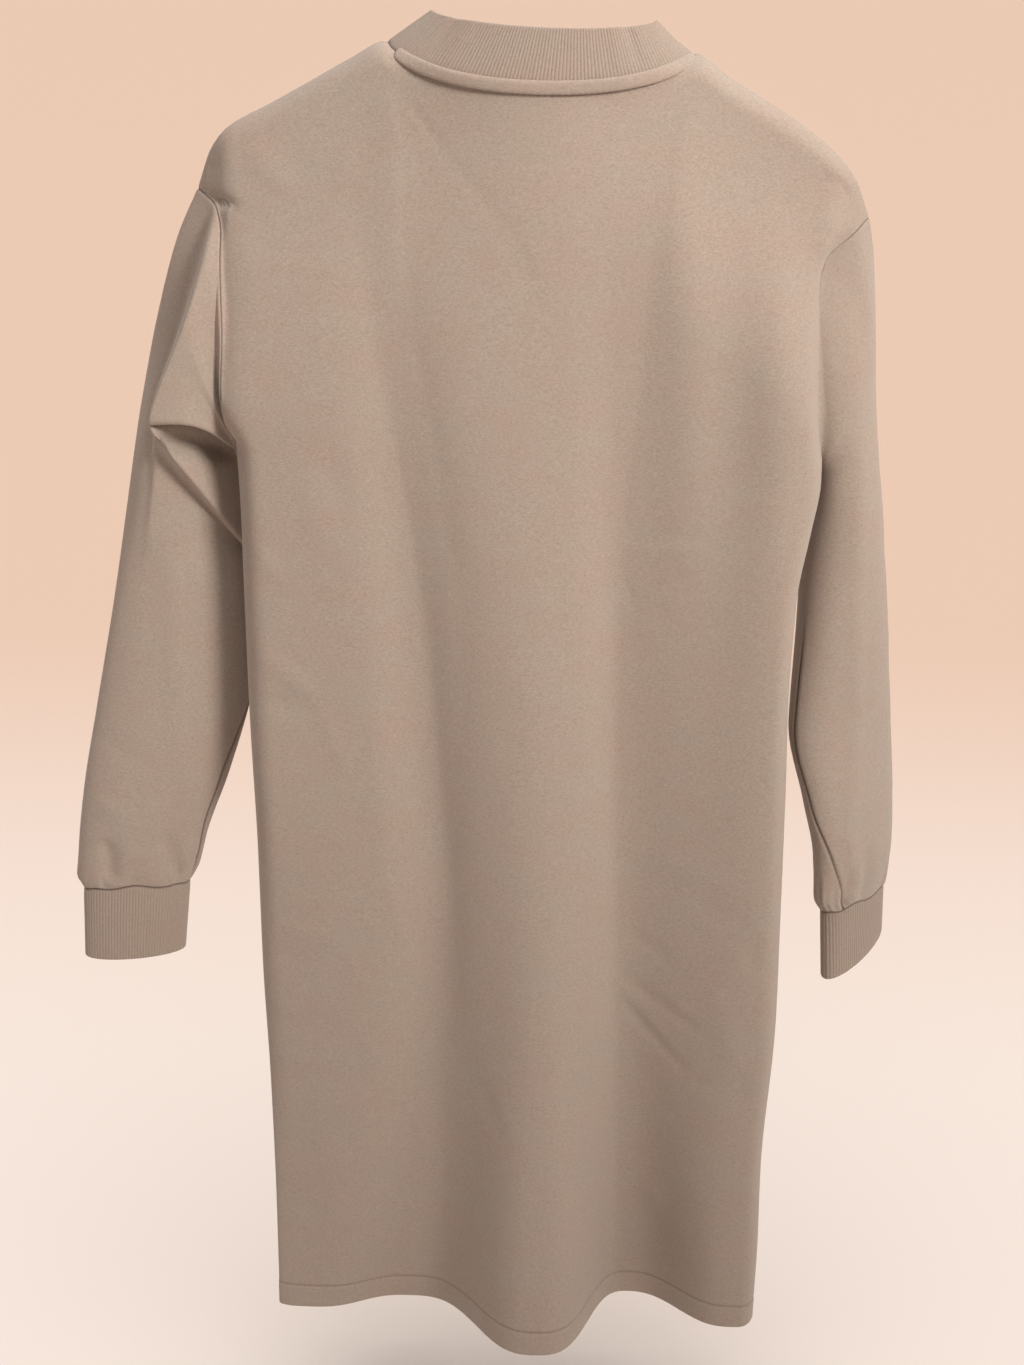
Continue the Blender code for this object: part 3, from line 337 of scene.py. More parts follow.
def sleeve_ring(rows, turn, t):
    """Points of the plain sleeve: turn 0 is the outer line, 90 degrees the back."""
    outer, inner = ends_at(rows, "outer", t), ends_at(rows, "inner", t)
    chord = (outer - inner) / 2
    level = unit(chord)
    depth = unit(np.array([0.0, 1.0, 0.0]) - level * level[..., 1:2])
    sine = np.sin(turn)
    size = np.where(sine > 0, along(rows, "back", t, "t"), along(rows, "front", t, "t"))
    return (outer + inner) / 2 + chord * np.cos(turn)[..., None] + depth * (size * sine)[..., None]


def underarm_fold(points, turn, t):
    """The back of the left sleeve, with the folded corner of cloth at the underarm."""
    fold = {name: along(UNDERARM_FOLD, name, t, "t") for name in UNDERARM_FOLD if name != "t"}
    outer = np.moveaxis(ends_at(LEFT_SLEEVE, "outer", t), -1, 0)
    round_share = (1 - np.cos(turn)) / 2
    near = np.clip(round_share / CREST, 0, 1) ** fold["crowd"]
    far = np.clip((round_share - CREST) / (1 - CREST), 0, 1)
    before = round_share < CREST
    valley = outer[1] + FOLD_VALLEY * np.sin(near * math.pi / 2)
    step = ease((near - CREST_FOOT) / (1 - CREST_FOOT))
    folded = []
    for axis, start, share in zip("xyz", (outer[0], valley, outer[2]), (near, step, near)):
        crest, end = fold["crest_" + axis], fold["end_" + axis]
        folded.append(np.where(before, start + (crest - start) * share,
                               crest + (end - crest) * far ** fold["late_" + axis]))
    folded = np.stack(folded, -1)
    amount = (fold["amount"] * (np.sin(turn) > 1e-6))[..., None]
    return points + (folded - points) * amount


# Long creases of the back: a narrow valley (or ridge) with its centre and half widths.
LEFT_LINE = table(
    FOLD,
    (70, 121, 12, 12, 0), (113, 110, 14, 14, -0.7), (182, 99.5, 16, 16, -1.3), (252, 86.5, 18, 18, -1.8),
    (310, 76.5, 18, 16, -2), (374, 67, 18, 14, -2), (417, 62, 18, 12, -2), (485, 56, 16, 9, -1.8),
    (550, 50, 14, 8, -1.4), (580, 46.5, 12, 8, -1), (670, 38, 10, 8, -0.6), (801, 28, 8, 6, -0.5),
    (942, 21, 6, 6, -0.4),
)
LEFT_SECOND_LINE = table(
    FOLD,
    (75, 85, 10, 12, 0), (140, 79, 10, 12, -0.5), (208, 68.5, 10, 12, -0.7), (258, 58.5, 9, 12, -1),
    (309, 51, 8, 12, -1.1), (344, 44, 8, 12, -1), (417, 41, 8, 10, -0.6), (500, 43, 7, 9, -0.4),
    (580, 46, 6, 8, 0),
)
RIGHT_LINE = table(
    FOLD,
    (83, -72, 12, 12, 0), (120, -72.7, 13, 13, -0.7), (211, -70.8, 14, 14, -1.2), (261, -65, 14, 14, -1.2),
    (306, -63.6, 13, 14, -1.2), (414, -64.8, 12, 14, -1.2), (505, -65.8, 12, 14, -1.2),
    (625, -71.2, 12, 14, -1.4), (700, -75.5, 12, 14, -1.6), (867, -84.7, 12, 14, -1.6),
    (960, -90.5, 12, 14, -1.2),
)
RIGHT_RIDGE = table(
    FOLD,
    (77, -95.5, 16, 18, 0), (110, -98.5, 17, 18, 1.4), (160, -101, 18, 18, 2.6), (243, -105, 18, 18, 2.2),
    (319, -109, 18, 18, 0.8), (370, -111, 18, 18, 0),
)
RIGHT_OUTER_RIDGE = table(
    FOLD,
    (85, -152, 18, 14, 0), (120, -154.5, 20, 15, 1.6), (165, -158, 20, 15, 3), (242, -162.5, 20, 15, 2.6),
    (345, -165, 20, 14, 1), (430, -169, 20, 14, 0),
)
LINE_ROUNDING = 0.0015  # how blunt the lines of the long creases are
RELIEF_CALM = 0.008  # strip along the sides in which the creases die out
RELIEF_TOP = 0.012  # and below the neck seam and the shoulder seams
BACK_LINES = (LEFT_LINE, LEFT_SECOND_LINE, RIGHT_LINE)
BACK_RIDGES = (RIGHT_RIDGE, RIGHT_OUTER_RIDGE)

# Short creases, each a soft ridge (height above 0) or trough between two places.
BACK_CREASES = table(
    CREASE,
    (79, 30, 58, 57, 3, -0.5), (58, 57, 16, 105, 4, -0.45), (16, 105, 2, 142, 6, -0.4),
    (23, 62, -39, 59, 3, -0.3), (117, 58, 122, 80, 6, 0.4), (182, 60, 154, 87, 9, 0.9),
    (177, 100, 168, 128, 8, -0.5), (131, 251, 120, 295, 8, -0.7), (151, 265, 128, 327, 10, 0.5),
    (177, 320, 167, 342, 5, 0.8), (179, 397, 143, 423, 7, 1.1), (181, 430, 141, 438, 7, -0.8),
    (140, 433, 121, 485, 6, 0.5), (102, 432, 97, 551, 7, 0.5), (97, 551, 76, 631, 5, 0.45),
    (126, 620, 104, 672, 2, 0.55), (115, 693, 87, 753, 2, 0.6), (87, 753, 52, 829, 2, 0.55),
    (171, 610, 124, 619, 5, 0.6), (175, 635, 142, 638, 7, -0.6), (179, 678, 157, 685, 6, 0.7),
    (169, 696, 124, 693, 6, -0.6), (177, 729, 124, 721, 6, 0.6), (170, 755, 113, 734, 6, -0.4),
    (166, 773, 98, 753, 6, 0.35), (171, 814, 102, 789, 7, -0.4), (160, 836, 94, 798, 7, 0.4),
    (153, 883, 106, 870, 7, 0.7), (83, 885, 21, 858, 4, 0.4), (60, 869, 35, 855, 3, 0.35),
    (-69, 304, -122, 302, 4, -0.6), (-76, 313, -119, 310, 6, 0.5), (-67, 336, -75, 358, 3, -0.6),
    (-98, 331, -118, 341, 5, -0.4), (-83, 611, -114, 628, 5, -0.7), (-81, 649, -138, 687, 3.5, -1.3),
    (-78, 667, -133, 728, 3.5, -1.2), (-84, 664, -119, 705, 3, 0.7), (-96, 661, -141, 676, 4, 0.5),
    (-145, 647, -164, 710, 10, 0.9), (-171, 604, -171, 629, 6, -0.9), (-172, 723, -168, 745, 7, -0.8),
    (-133, 728, -160, 736, 4, -0.5), (16, 723, -8, 781, 3, 0.6), (25, 729, 8, 768, 5, -0.5),
    (12, 425, 4, 470, 8, -0.3), (3, 381, -5, 425, 10, 0.3), (-109, 842, -118, 865, 8, 0.8),
    (-123, 889, -172, 893, 3.5, 0.6), (-105, 908, -152, 913, 4, -0.5), (-101, 546, -152, 560, 8, 0.5),
    (-132, 581, -165, 588, 7, -0.5), (206, 66, 204, 78, 3.5, -3.5), (-193, 64, -191.5, 70, 5.5, 2.6),
    (-198.5, 76.5, -193.5, 75.5, 3, -2.8), (43, 673, 32, 690, 5, 0.6), (48, 665, 38, 680, 5, -0.6),
)
FRONT_CREASES = table(
    CREASE,
    (-70, 60, -40, 110, 4, -0.5), (74, 66, 50, 120, 4, -0.5), (-175, 240, -120, 290, 8, -0.8),
    (172, 236, 120, 280, 8, -0.8), (-168, 270, -110, 330, 9, 0.7), (170, 262, 118, 318, 9, 0.7),
    (120, 340, 128, 460, 8, 0.6), (-118, 360, -130, 480, 8, 0.6), (-170, 470, -120, 500, 6, -0.6),
    (168, 500, 116, 520, 6, -0.6), (30, 540, 12, 640, 5, 0.5), (-40, 590, -22, 690, 5, 0.5),
    (-120, 640, -90, 720, 3, 0.6), (130, 660, 100, 740, 3, 0.6), (172, 700, 120, 712, 6, 0.6),
    (-174, 740, -118, 760, 6, 0.6), (166, 760, 110, 784, 6, -0.6), (-166, 800, -112, 818, 6, -0.6),
    (150, 860, 104, 874, 7, 0.6), (-150, 872, -100, 880, 7, 0.6), (20, 800, -10, 900, 4, 0.5),
)

# Creases of the sleeves, on their back and on their front.
LEFT_SLEEVE_CREASES = {
    "back": table(
        CREASE,
        (243, 330, 243, 456, 6, 1.2), (243, 456, 239, 530, 5, 1.2), (262, 180, 268, 300, 8, 0.6),
        (300, 470, 262, 500, 8, -0.6), (306, 520, 276, 545, 7, 0.7), (243, 246.5, 200, 266, 5.5, -7),
        (298, 555, 296, 588, 6, -4), (298.5, 576, 295.5, 592, 1.5, -1.5), (256, 552, 250, 590, 5, -3),
        (272, 566, 268, 592, 4, 0.8), (238, 572, 241, 592, 3, -1.2),
    ),
    "front": table(
        CREASE,
        (225, 230, 262, 300, 8, -1), (220, 280, 262, 330, 8, 1), (262, 360, 270, 480, 8, 1),
        (300, 500, 262, 530, 7, -0.8), (290, 552, 288, 590, 4.5, -2), (258, 556, 254, 590, 4.5, -1.8),
    ),
}
RIGHT_SLEEVE_CREASES = {
    "back": table(
        CREASE,
        (-222, 230, -230, 358, 6, 1.2), (-230, 358, -236, 448, 5, 1.4), (-236, 448, -237, 527, 5, 1.4),
        (-237, 527, -247, 575, 4.5, 1.2), (-252, 540, -256, 590, 4, -1.6),
        (-240, 560, -238, 592, 3.5, -1.4), (-262, 400, -250, 470, 8, -0.6), (-262, 300, -244, 340, 7, -0.5),
    ),
    "front": table(
        CREASE,
        (-210, 260, -240, 320, 8, -1), (-230, 360, -240, 480, 8, 1), (-262, 500, -232, 530, 7, -0.8),
        (-256, 552, -256, 590, 4.5, -1.8), (-238, 556, -238, 590, 4.5, -1.8),
    ),
}

# Where the underarm seam lies round the back of a sleeve, as a share of half its turn.
UNDERARM_SEAM = {
    1: table(
        "t share",
        (0, 1), (0.55, 1), (0.66, 0.985), (0.745, 0.885), (0.8, 0.845), (0.86, 0.84), (0.92, 0.87),
        (1, 0.89),
    ),
    -1: table("t share", (0, 1), (0.7, 1), (0.8, 0.985), (0.89, 0.88), (0.96, 0.76), (1, 0.78)),
}


def line_crease(fold, x, down):
    """A long crease that comes to a narrow, slightly rounded line."""
    off = x - along(fold, "centre", down)
    reach = np.sqrt(off**2 + LINE_ROUNDING**2) - LINE_ROUNDING
    return along(fold, "height", down) * np.exp(-reach / at_side(fold, off, down))


CREASE_OVER = 0.15  # how far a short crease runs on past its two places, as a share of its run
CREASE_FADE = 0.4  # and over what share it fades there


def creases(rows, x, down):
    """Sum of the short creases of a table at places on a piece."""
    total = np.zeros(np.broadcast(x, down).shape)
    for x0, d0, x1, d1, width, height in zip(*(rows[name] for name in rows)):
        run = math.hypot(x1 - x0, d1 - d0)
        share = ((x - x0) * (x1 - x0) + (down - d0) * (d1 - d0)) / run**2
        off = ((x - x0) * (d1 - d0) - (down - d0) * (x1 - x0)) / run
        ends = [ease((CREASE_OVER + part) / CREASE_FADE) for part in (share, 1 - share)]
        total = total + height * ends[0] * ends[1] * bell(off, width)
    return total


def edge_distances(first, growth, widest, length):
    """Distances from an edge that start close together and end evenly spaced, up to length."""
    steps = [0.0]
    step = first
    while steps[-1] < length:
        steps.append(steps[-1] + step)
        step = min(step * growth, widest)
    steps = np.array(steps)
    return steps * length / steps[-1]


ARMHOLE_LENGTH = 0.163  # the armhole from its top to the underarm
ARMHOLE_FOOT = 0.12  # its share of rows that are counted from the underarm
HEM_ROWS = 0.03  # height of the fine rows at the hem
shoulder_steps = edge_distances(0.0002, 1.35, 0.0026, ARMHOLE_LENGTH * (1 - ARMHOLE_FOOT))
foot_steps = edge_distances(0.0004, 1.5, 0.0026, ARMHOLE_LENGTH * ARMHOLE_FOOT)
ARMHOLE_STEPS = np.append(shoulder_steps / ARMHOLE_LENGTH, 1 - foot_steps[-2::-1] / ARMHOLE_LENGTH)
HEM_STEPS = edge_distances(0.0002, 1.5, 0.0009, HEM_ROWS)
SIDE_STEPS = edge_distances(0.0009, 1.2, 0.0046, HEM_DOWN - HEM_ROWS - UNDERARM_DOWN[1])


def edge_rows(x_sign):
    """Row heights at one edge of the body: the armhole, the side seam, then the hem."""
    edge = LEFT_EDGE if x_sign > 0 else RIGHT_EDGE
    start = edge["down"][0]
    underarm = UNDERARM_DOWN[x_sign]
    armhole = start + ARMHOLE_STEPS * (underarm - start)
    top_of_hem = HEM_DOWN - HEM_STEPS[-1]
    seam = underarm + SIDE_STEPS[1:] / SIDE_STEPS[-1] * (top_of_hem - underarm)
    return np.concatenate([armhole, seam, HEM_DOWN - HEM_STEPS[-2::-1]])


def body_places():
    """Places across the body, +1 at the left edge to -1 at the right, and the neck turns."""
    reach = edge_distances(0.0003, 1.35, 0.004, SHOULDER_END - NECK_HALF)
    outer = 1 - reach / reach[-1] * (1 - NECK_HALF / SHOULDER_END)
    even = np.linspace(1, -1, NECK_COLUMNS)
    turns = np.arcsin(NECK_EVEN * even + (1 - NECK_EVEN) * np.sin(even * math.pi / 2))
    neck = NECK_HALF / SHOULDER_END * np.sin(turns)
    return np.concatenate([outer[:-1], neck, -outer[-2::-1]]), turns, len(outer) - 1


def body_surface(side):
    """Middle surface of a panel: columns from the left edge to the right, rows down to the hem."""
    places, turns, first = body_places()
    neck = neck_ring(NECK_SEAM, turns if side == "back" else math.pi - turns)
    right_tip, left_tip = SHOULDER_TIP["x"]
    x_top = np.where(places > 0, left_tip, -right_tip) * places
    down_top = smooth(TOP_LINE["x"], TOP_LINE["down"], x_top)
    right_y, left_y = SHOULDER_TIP["y"]
    near_tip = (np.abs(x_top) + right_tip + TIP_SPAN) / TIP_SPAN
    y_top = np.where(places > 0, left_y, right_y) * np.clip(near_tip, 0, 1)
    last = first + len(turns)
    x_top[first:last] = neck[:, 0]
    y_top[first:last] = neck[:, 1]
    down_top[first:last] = -neck[:, 2]
    left, right = ((rows - rows[0]) / (HEM_DOWN - rows[0]) for rows in map(edge_rows, (1, -1)))
    place = places[:, None]
    fall = left + (right - left) * (1 - place) / 2
    return panel_points(side, place, x_top[:, None], y_top[:, None], down_top[:, None], fall)


def panel_points(side, place, x_top, y_top, down_top, fall):
    """Points of a panel at the given shares of the way from its top line to the hem."""
    down = down_top + (HEM_DOWN - down_top) * fall
    left_x, left_y = body_edge(1, side, down)
    right_x, right_y = body_edge(-1, side, down)
    edge_x = np.where(place > 0, left_x, -right_x)
    edge_y = np.where(place > 0, left_y, right_y)
    size = np.abs(place)
    fallen = np.maximum(down - down_top, 0.0)
    narrow = np.where(place > 0, BODY_HALF[1], BODY_HALF[-1])
    width = narrow + SHOULDER_FLARE * (1 - ease(fallen / SHOULDER_BLEND))
    x = np.sign(place) * (size * width + size**5 * (edge_x - width))
    at_neck = (1 - ease(fallen / NECK_BLEND)) * (size < NECK_HALF / SHOULDER_END + NECK_SLACK)
    x = x + at_neck * (x_top - np.sign(place) * size * (narrow + SHOULDER_FLARE))
    gap = edge_x - np.abs(x)
    loss = 1 - along(BODY_DEPTH, side + "_loss", down) * np.abs(x / SIDE_DEPTH) ** 3
    lean = along(BODY_DEPTH, side, down) * loss
    lean = lean + ease(gap / FOLD_CALM) * sum(bump(fold, x, down) for fold in FOLDS[side])
    lean = lean + sum(bump(fold, x, down) for fold in EDGE_FOLDS[side])
    relief = creases(BACK_CREASES if side == "back" else FRONT_CREASES, x, down)
    if side == "back":
        relief = relief + sum(line_crease(fold, x, down) for fold in BACK_LINES)
        relief = relief + sum(bump(fold, x, down) for fold in BACK_RIDGES)
    outward = 1 if side == "back" else -1
    relief = outward * relief * ease(gap / RELIEF_CALM) * ease(fallen / RELIEF_TOP)
    thin = (1 - bell(x, SHOULDER_SPREAD)) * (1 - ease(fallen / SHOULDER_FALL))
    lean = lean * (1 - (1 - SHOULDER_DEPTH) * thin) + relief
    base = y_top + (edge_y - y_top) * fallen / (fallen + np.maximum(gap, 0.0) + 1e-7)
    across = at_side(SIDE_TURN, place, down) if side == "back" else np.where(place > 0, *SIDE_TURN_FRONT)
    reach = gap / across
    crisp = along(SIDE_TURN, "crisp", down) * (side == "back")
    rise = round_off(reach) * (1 - crisp) + np.clip(reach, 0, 1) * crisp
    y = base + (lean - base) * rise * round_off(fallen / TOP_TURN)
    return np.stack([x, y, -down], -1)


def armhole_loop(x_sign):
    """The armhole seam: down its back branch from the shoulder, and up its front branch."""
    down = edge_rows(x_sign)[: len(ARMHOLE_STEPS)]
    back = np.stack([*body_edge(x_sign, "back", down), -down], -1)
    front = np.stack([*body_edge(x_sign, "front", down), -down], -1)
    return joined(back, front)


SLEEVE_STEPS = np.concatenate([
    edge_distances(0.0007, 1.3, 0.0075, 0.25),
    np.linspace(0.25, 0.46, 46)[1:],
    1 - edge_distances(0.0007, 1.2, 0.007, 0.54)[-2::-1],
])


def sleeve_turns():
    """Turns from the outer line to the inner one, closest at the folds and at the seam."""
    share = np.linspace(0, 1, 2001)
    crowd = 1 + 2.0 * bell(share, 0.04) + 2.0 * bell(share - 0.28, 0.03)
    crowd = crowd + 5.0 * ease((share - 0.7) / 0.05)
    run = np.concatenate([[0], np.cumsum((crowd[1:] + crowd[:-1]) / 2)])
    return math.pi * np.interp(np.linspace(0, run[-1], len(ARMHOLE_STEPS)), run, share)


def sleeve_surface(x_sign):
    """Middle surface of a sleeve, around from the outer line, its cuff seam before it waves."""
    rows = LEFT_SLEEVE if x_sign > 0 else RIGHT_SLEEVE
    half = sleeve_turns()
    turn, t = np.meshgrid(joined(half, 2 * math.pi - half), SLEEVE_STEPS, indexing="ij")
    points = sleeve_ring(rows, turn, t)
    if x_sign > 0:
        points = underarm_fold(points, turn, t)
    shift = armhole_loop(x_sign) - points[:, 0]
    points = points + (1 - ease(t / SLEEVE_SET_IN))[..., None] * shift[:, None, :]
    seam = points[:, -1].copy()
    wave = 0.0016 * np.cos(3 * turn + 1.0 + x_sign) + 0.0009 * np.cos(7 * turn + 2.0 * x_sign)
    points[..., 2] += wave * ease((t - 0.93) / 0.07)
    return points, seam, turn, t


SLEEVE_EDGE = 0.4  # sine of the turn up to which creases fade at the sleeve's two edges
SEAM_HALF = 0.0032  # from the underarm seam to the middle of the swelling beside it


def sleeve_relief(x_sign, points, turn, t):
    """Creases and cuff gathers of a sleeve, the groove of its underarm seam and the painted shade along
    that seam, which also stands for its dark thread.
    """
    tables = LEFT_SLEEVE_CREASES if x_sign > 0 else RIGHT_SLEEVE_CREASES
    x, down = points[..., 0], -points[..., 2]
    relief = creases(tables["back"], x, down) * ease(np.sin(turn) / SLEEVE_EDGE)
    relief = relief + creases(tables["front"], x, down) * ease(-np.sin(turn) / SLEEVE_EDGE)
    gather = (0.0007 * np.cos(9 * turn + 0.5 + x_sign) + 0.0005 * np.cos(14 * turn + 2.0)
              + 0.0004 * np.cos(23 * turn + x_sign))
    relief = relief + gather * ease((t - 0.91) / 0.07)
    relief = relief * ease((1 - t) / 0.014) * ease((t - 0.02) / 0.05)
    arc = run_along(points)
    seam = along(UNDERARM_SEAM[x_sign], "share", SLEEVE_STEPS, "t") * math.pi
    seam_arc = np.array([np.interp(seam[j], turn[:, 0], arc[:, j]) for j in range(t.shape[1])])
    off = arc - seam_arc
    sewn = ease((t - 0.5) / 0.1)
    groove = (0.0002 * bell(np.abs(off) - SEAM_HALF, 0.0018) - 0.001 * bell(off, 0.0008)) * sewn
    # the last is the painted shade along the underarm seam, partly its dark thread
    return relief, groove, bell(off, 0.0009) * sewn


def grid_normals(points, around):
    """Normals of a grid of points, each the mean of those of the faces round it."""
    grid = np.concatenate([points, points[:1]]) if around else points
    a, b, c, d = corners(grid)
    face = np.cross(d - b, c - a)
    face /= np.linalg.norm(face, axis=-1, keepdims=True) + 1e-12
    total = np.zeros_like(grid)
    for corner in corners(total):
        corner += face
    if around:
        total[0] += total[-1]
        total = total[:-1]
    return total


def border_keys(points, around):
    """Index pairs of the points on the borders of a grid."""
    columns, rows = points.shape[:2]
    pairs = {(i, j) for i in range(columns) for j in (0, rows - 1)}
    if not around:
        pairs |= {(i, j) for i in (0, columns - 1) for j in range(rows)}
    return sorted(pairs)


def common_normals(surfaces):
    """Unit normals of the middle surfaces, the same on both sides of each seam."""
    found = [grid_normals(points, around) for points, around in surfaces]
    borders = []
    for normal, (points, around) in zip(found, surfaces):
        for at in border_keys(points, around):
            borders.append((normal, at, tuple(np.round(points[at] * 1e5).astype(int))))
    sums = {}
    for normal, at, place in borders:
        sums[place] = sums.get(place, 0) + normal[at]
    for normal, at, place in borders:
        normal[at] = sums[place]
    return [unit(normal) for normal in found]


def from_border(points, axis, end):
    """Distance of each point from a border, measured along the grid line that starts there."""
    if end:
        return np.flip(run_along(np.flip(points, axis), axis), axis)
    return run_along(points, axis)


def seam_shape(distance, dip=0.9, puff=0.0001):
    """How the outer face of the cloth rolls down into a seam and swells beside it."""
    return 1 - dip * bell(distance, 0.001), puff * bell(distance - 0.0034, 0.002)


def settle(normals, distance, border):
    """Normals near a border turned towards those of the border."""
    return unit(normals + (border - normals) * bell(distance, 0.0016)[..., None])


def mesh_object(name, points, faces, material):
    mesh = bpy.data.meshes.new(name)
    points = np.asarray(points, float).reshape(-1, 3)
    mesh.from_pydata([tuple(p) for p in points], [], faces)
    mesh.polygons.foreach_set("use_smooth", [True] * len(mesh.polygons))
    mesh.materials.append(material)
    made = bpy.data.objects.new(name, mesh)
    bpy.context.scene.collection.objects.link(made)
    return made


def shell_faces(columns, rows, around):
    """Quads of a closed shell whose outer points come first, then its inner points."""
    count = columns * rows
    grid = np.arange(count).reshape(columns, rows)
    if around:
        grid = np.concatenate([grid, grid[:1]])
    outer = np.stack(corners(grid), -1).reshape(-1, 4)
    inner = outer[:, ::-1] + count

    def rim(a, b):
        return np.stack([a, b, b + count, a + count], -1)

    rims = [rim(grid[1:, 0], grid[:-1, 0]), rim(grid[:-1, -1], grid[1:, -1])]
    if not around:
        rims += [rim(grid[0, :-1], grid[0, 1:]), rim(grid[-1, 1:], grid[-1, :-1])]
    return np.concatenate([outer, inner, *rims]).tolist()


def shell(name, middle, normals, outer, inner, around, material, thread_and_seam_shade):
    """A closed shell: the middle surface moved out and in by the given amounts."""
    out = middle + normals * outer[..., None]
    within = middle - normals * inner[..., None]
    both = np.concatenate([out.reshape(-1, 3), within.reshape(-1, 3)])
    made = mesh_object(name, both, shell_faces(*middle.shape[:2], around), material)
    # painted shade along the seams (partly their dark thread), kept on the outer face only
    shown = np.concatenate([thread_and_seam_shade.ravel(), np.zeros(thread_and_seam_shade.size)])
    made.data.attributes.new("thread_and_seam_shade", "FLOAT", "POINT").data.foreach_set("value", shown)
    return made


def panel_shell(name, points, normals, material):
    """A panel with its seams rolled in, its hem turned up and its lower edge rounded."""
    rows = points.shape[1]
    left = from_border(points, 0, False)
    right = from_border(points, 0, True)
    side = np.minimum(left, right)
    top = from_border(points, 1, False)
    below = from_border(points, 1, True)
    normals = settle(normals, left, normals[:1])
    normals = settle(normals, right, normals[-1:])
    normals = settle(normals, top, normals[:, :1])
    roll, swell = seam_shape(side)
    faint, _ = seam_shape(top, dip=0.25)
    hem_groove = 0.00045 * bell(below - HEM_TURN, 0.001)
    hem_swell = 0.0003 * ease((HEM_TURN - below) / 0.004)
    edge = round_off((below + 1e-5) / 0.0016)
    outer = (FLEECE / 2 * roll * faint + swell - hem_groove + hem_swell) * edge
    inner = (FLEECE / 2 + HEM_EXTRA * ease((HEM_TURN - below) / 0.0012 + 0.5)) * edge
    # painted shade along the side and shoulder seams, and fainter along the hem's stitch groove, partly
    # their dark thread
    thread_and_seam_shade = np.maximum(bell(side, SEAM_SHADE_WIDTH), 0.45 * bell(below - HEM_TURN, 0.0008))
    return shell(name, points, normals, outer, inner, False, material, thread_and_seam_shade)


def sleeve_shell(name, points, normals, relief, groove, sewn, material):
    """A sleeve with its creases, its gathers and its seams."""
    top = from_border(points, 1, False)
    cuff = from_border(points, 1, True)
    normals = settle(normals, top, normals[:, :1])
    roll, swell = seam_shape(np.minimum(top, cuff))
    outer = FLEECE / 2 * roll + swell + groove
    inner = np.full(outer.shape, FLEECE / 2)
    moved = points + normals * relief[..., None]
    # painted shade along the armhole, cuff and underarm seams, partly their dark thread
    thread_and_seam_shade = np.maximum(bell(np.minimum(top, cuff), SEAM_SHADE_WIDTH), sewn)
    return shell(name, moved, normals, outer, inner, True, material, thread_and_seam_shade)


def around_line(line, normals, share):
    """Points and normals of a closed line of seam points at shares 0 to 1 of its length."""
    closed = np.concatenate([line, line[:1]])
    turned = np.concatenate([normals, normals[:1]])
    run = run_along(closed)
    at = share * run[-1]
    return at_run(at, run, closed), unit(at_run(at, run, turned))


RIB_POINTS = 8  # points across one rib
RIB_POWER = 0.8  # how round a rib is: 1 like a cosine, less is fuller

# Soft folds of the collar: place as a share of the way round from the left neck point by
# the back, width as such a share, and height.
COLLAR_FOLDS = ((0.068, 0.008, -0.0012), (0.098, 0.012, 0.0007), (0.345, 0.008, -0.001),
                (0.318, 0.012, 0.0006), (0.6, 0.02, 0.0008), (0.8, 0.02, 0.0008))


def rib_ring(name, seam, normals, ends, ribs, material, folds=()):
    """A ring of rib knit from its seam to its open edge, with rounded ribs and a rounded edge."""
    columns = ribs * RIB_POINTS
    share = np.arange(columns) / columns
    start, facing = around_line(seam, normals, share)
    stop, _ = around_line(ends, normals, share)
    reach = stop - start
    length = np.linalg.norm(reach, axis=-1).mean()
    along_rib = edge_distances(0.0003, 1.4, 0.0035, length * 0.5) / length
    steps = np.concatenate([along_rib, 1 - along_rib[-2::-1]])
    run = np.roll(start + stop, -1, 0) - np.roll(start + stop, 1, 0)
    own = unit(np.cross(reach, run))
    own *= np.sign(np.sum(own * facing, -1, keepdims=True))
    s = steps[None, :]
    normal = unit(facing[:, None] + (own[:, None] - facing[:, None]) * ease(s / 0.25)[..., None])
    middle = start[:, None] + reach[:, None] * s[..., None]
    edge = round_off(((1 - s) * length + 1e-5) / 0.0011)
    seam_roll, _ = seam_shape(s * length, dip=0.6)
    rib = (np.abs(np.cos(share * ribs * math.pi)) ** RIB_POWER)[:, None]
    outer = (RIB_WALL / 2 + RIB_RAISE * (rib - 0.2)) * edge * seam_roll
    inner = RIB_WALL / 2 * edge + 0 * outer
    for place, width, height in folds:
        off = (share[:, None] - place + 0.5) % 1.0 - 0.5
        middle = middle + normal * (height * bell(off, width) * np.sin(math.pi * s / 2))[..., None]
    # painted shade along the seam at the rib's foot, partly its dark thread
    thread_and_seam_shade = 0.8 * bell(s * length, SEAM_SHADE_WIDTH) + 0 * outer
    return shell(name, middle, normal, outer, inner, True, material, thread_and_seam_shade)


def cuff_end(x_sign, line):
    """The open end of a cuff, from the line of its seam."""
    which = 0 if x_sign < 0 else 1
    outer = np.array([CUFF_DRIFT["outer_" + a][which] for a in "xyz"])
    inner = np.array([CUFF_DRIFT["inner_" + a][which] for a in "xyz"])
    size = np.abs(line[:, :1])
    share = (size - size.min()) / (size.max() - size.min())
    return line + inner + (outer - inner) * share


TAPE_SHORT = {1: 0.0165, -1: 0.0055}  # how far it stops short of the left and right neck points
TAPE_POINTS = 260  # points along the tape
TAPE_AROUND = 28  # points round it
TAPE_HIGH = 0.0044  # half its height
TAPE_THICK = 0.0019  # half its thickness
TAPE_OUT = 0.0016  # how far it stands off the neck seam
TAPE_POWER = 0.8  # how square its section is: 1 is an ellipse, 0 a rectangle
TAPE_STITCH = 0.0013  # length of the stitches that pinch its lower edge


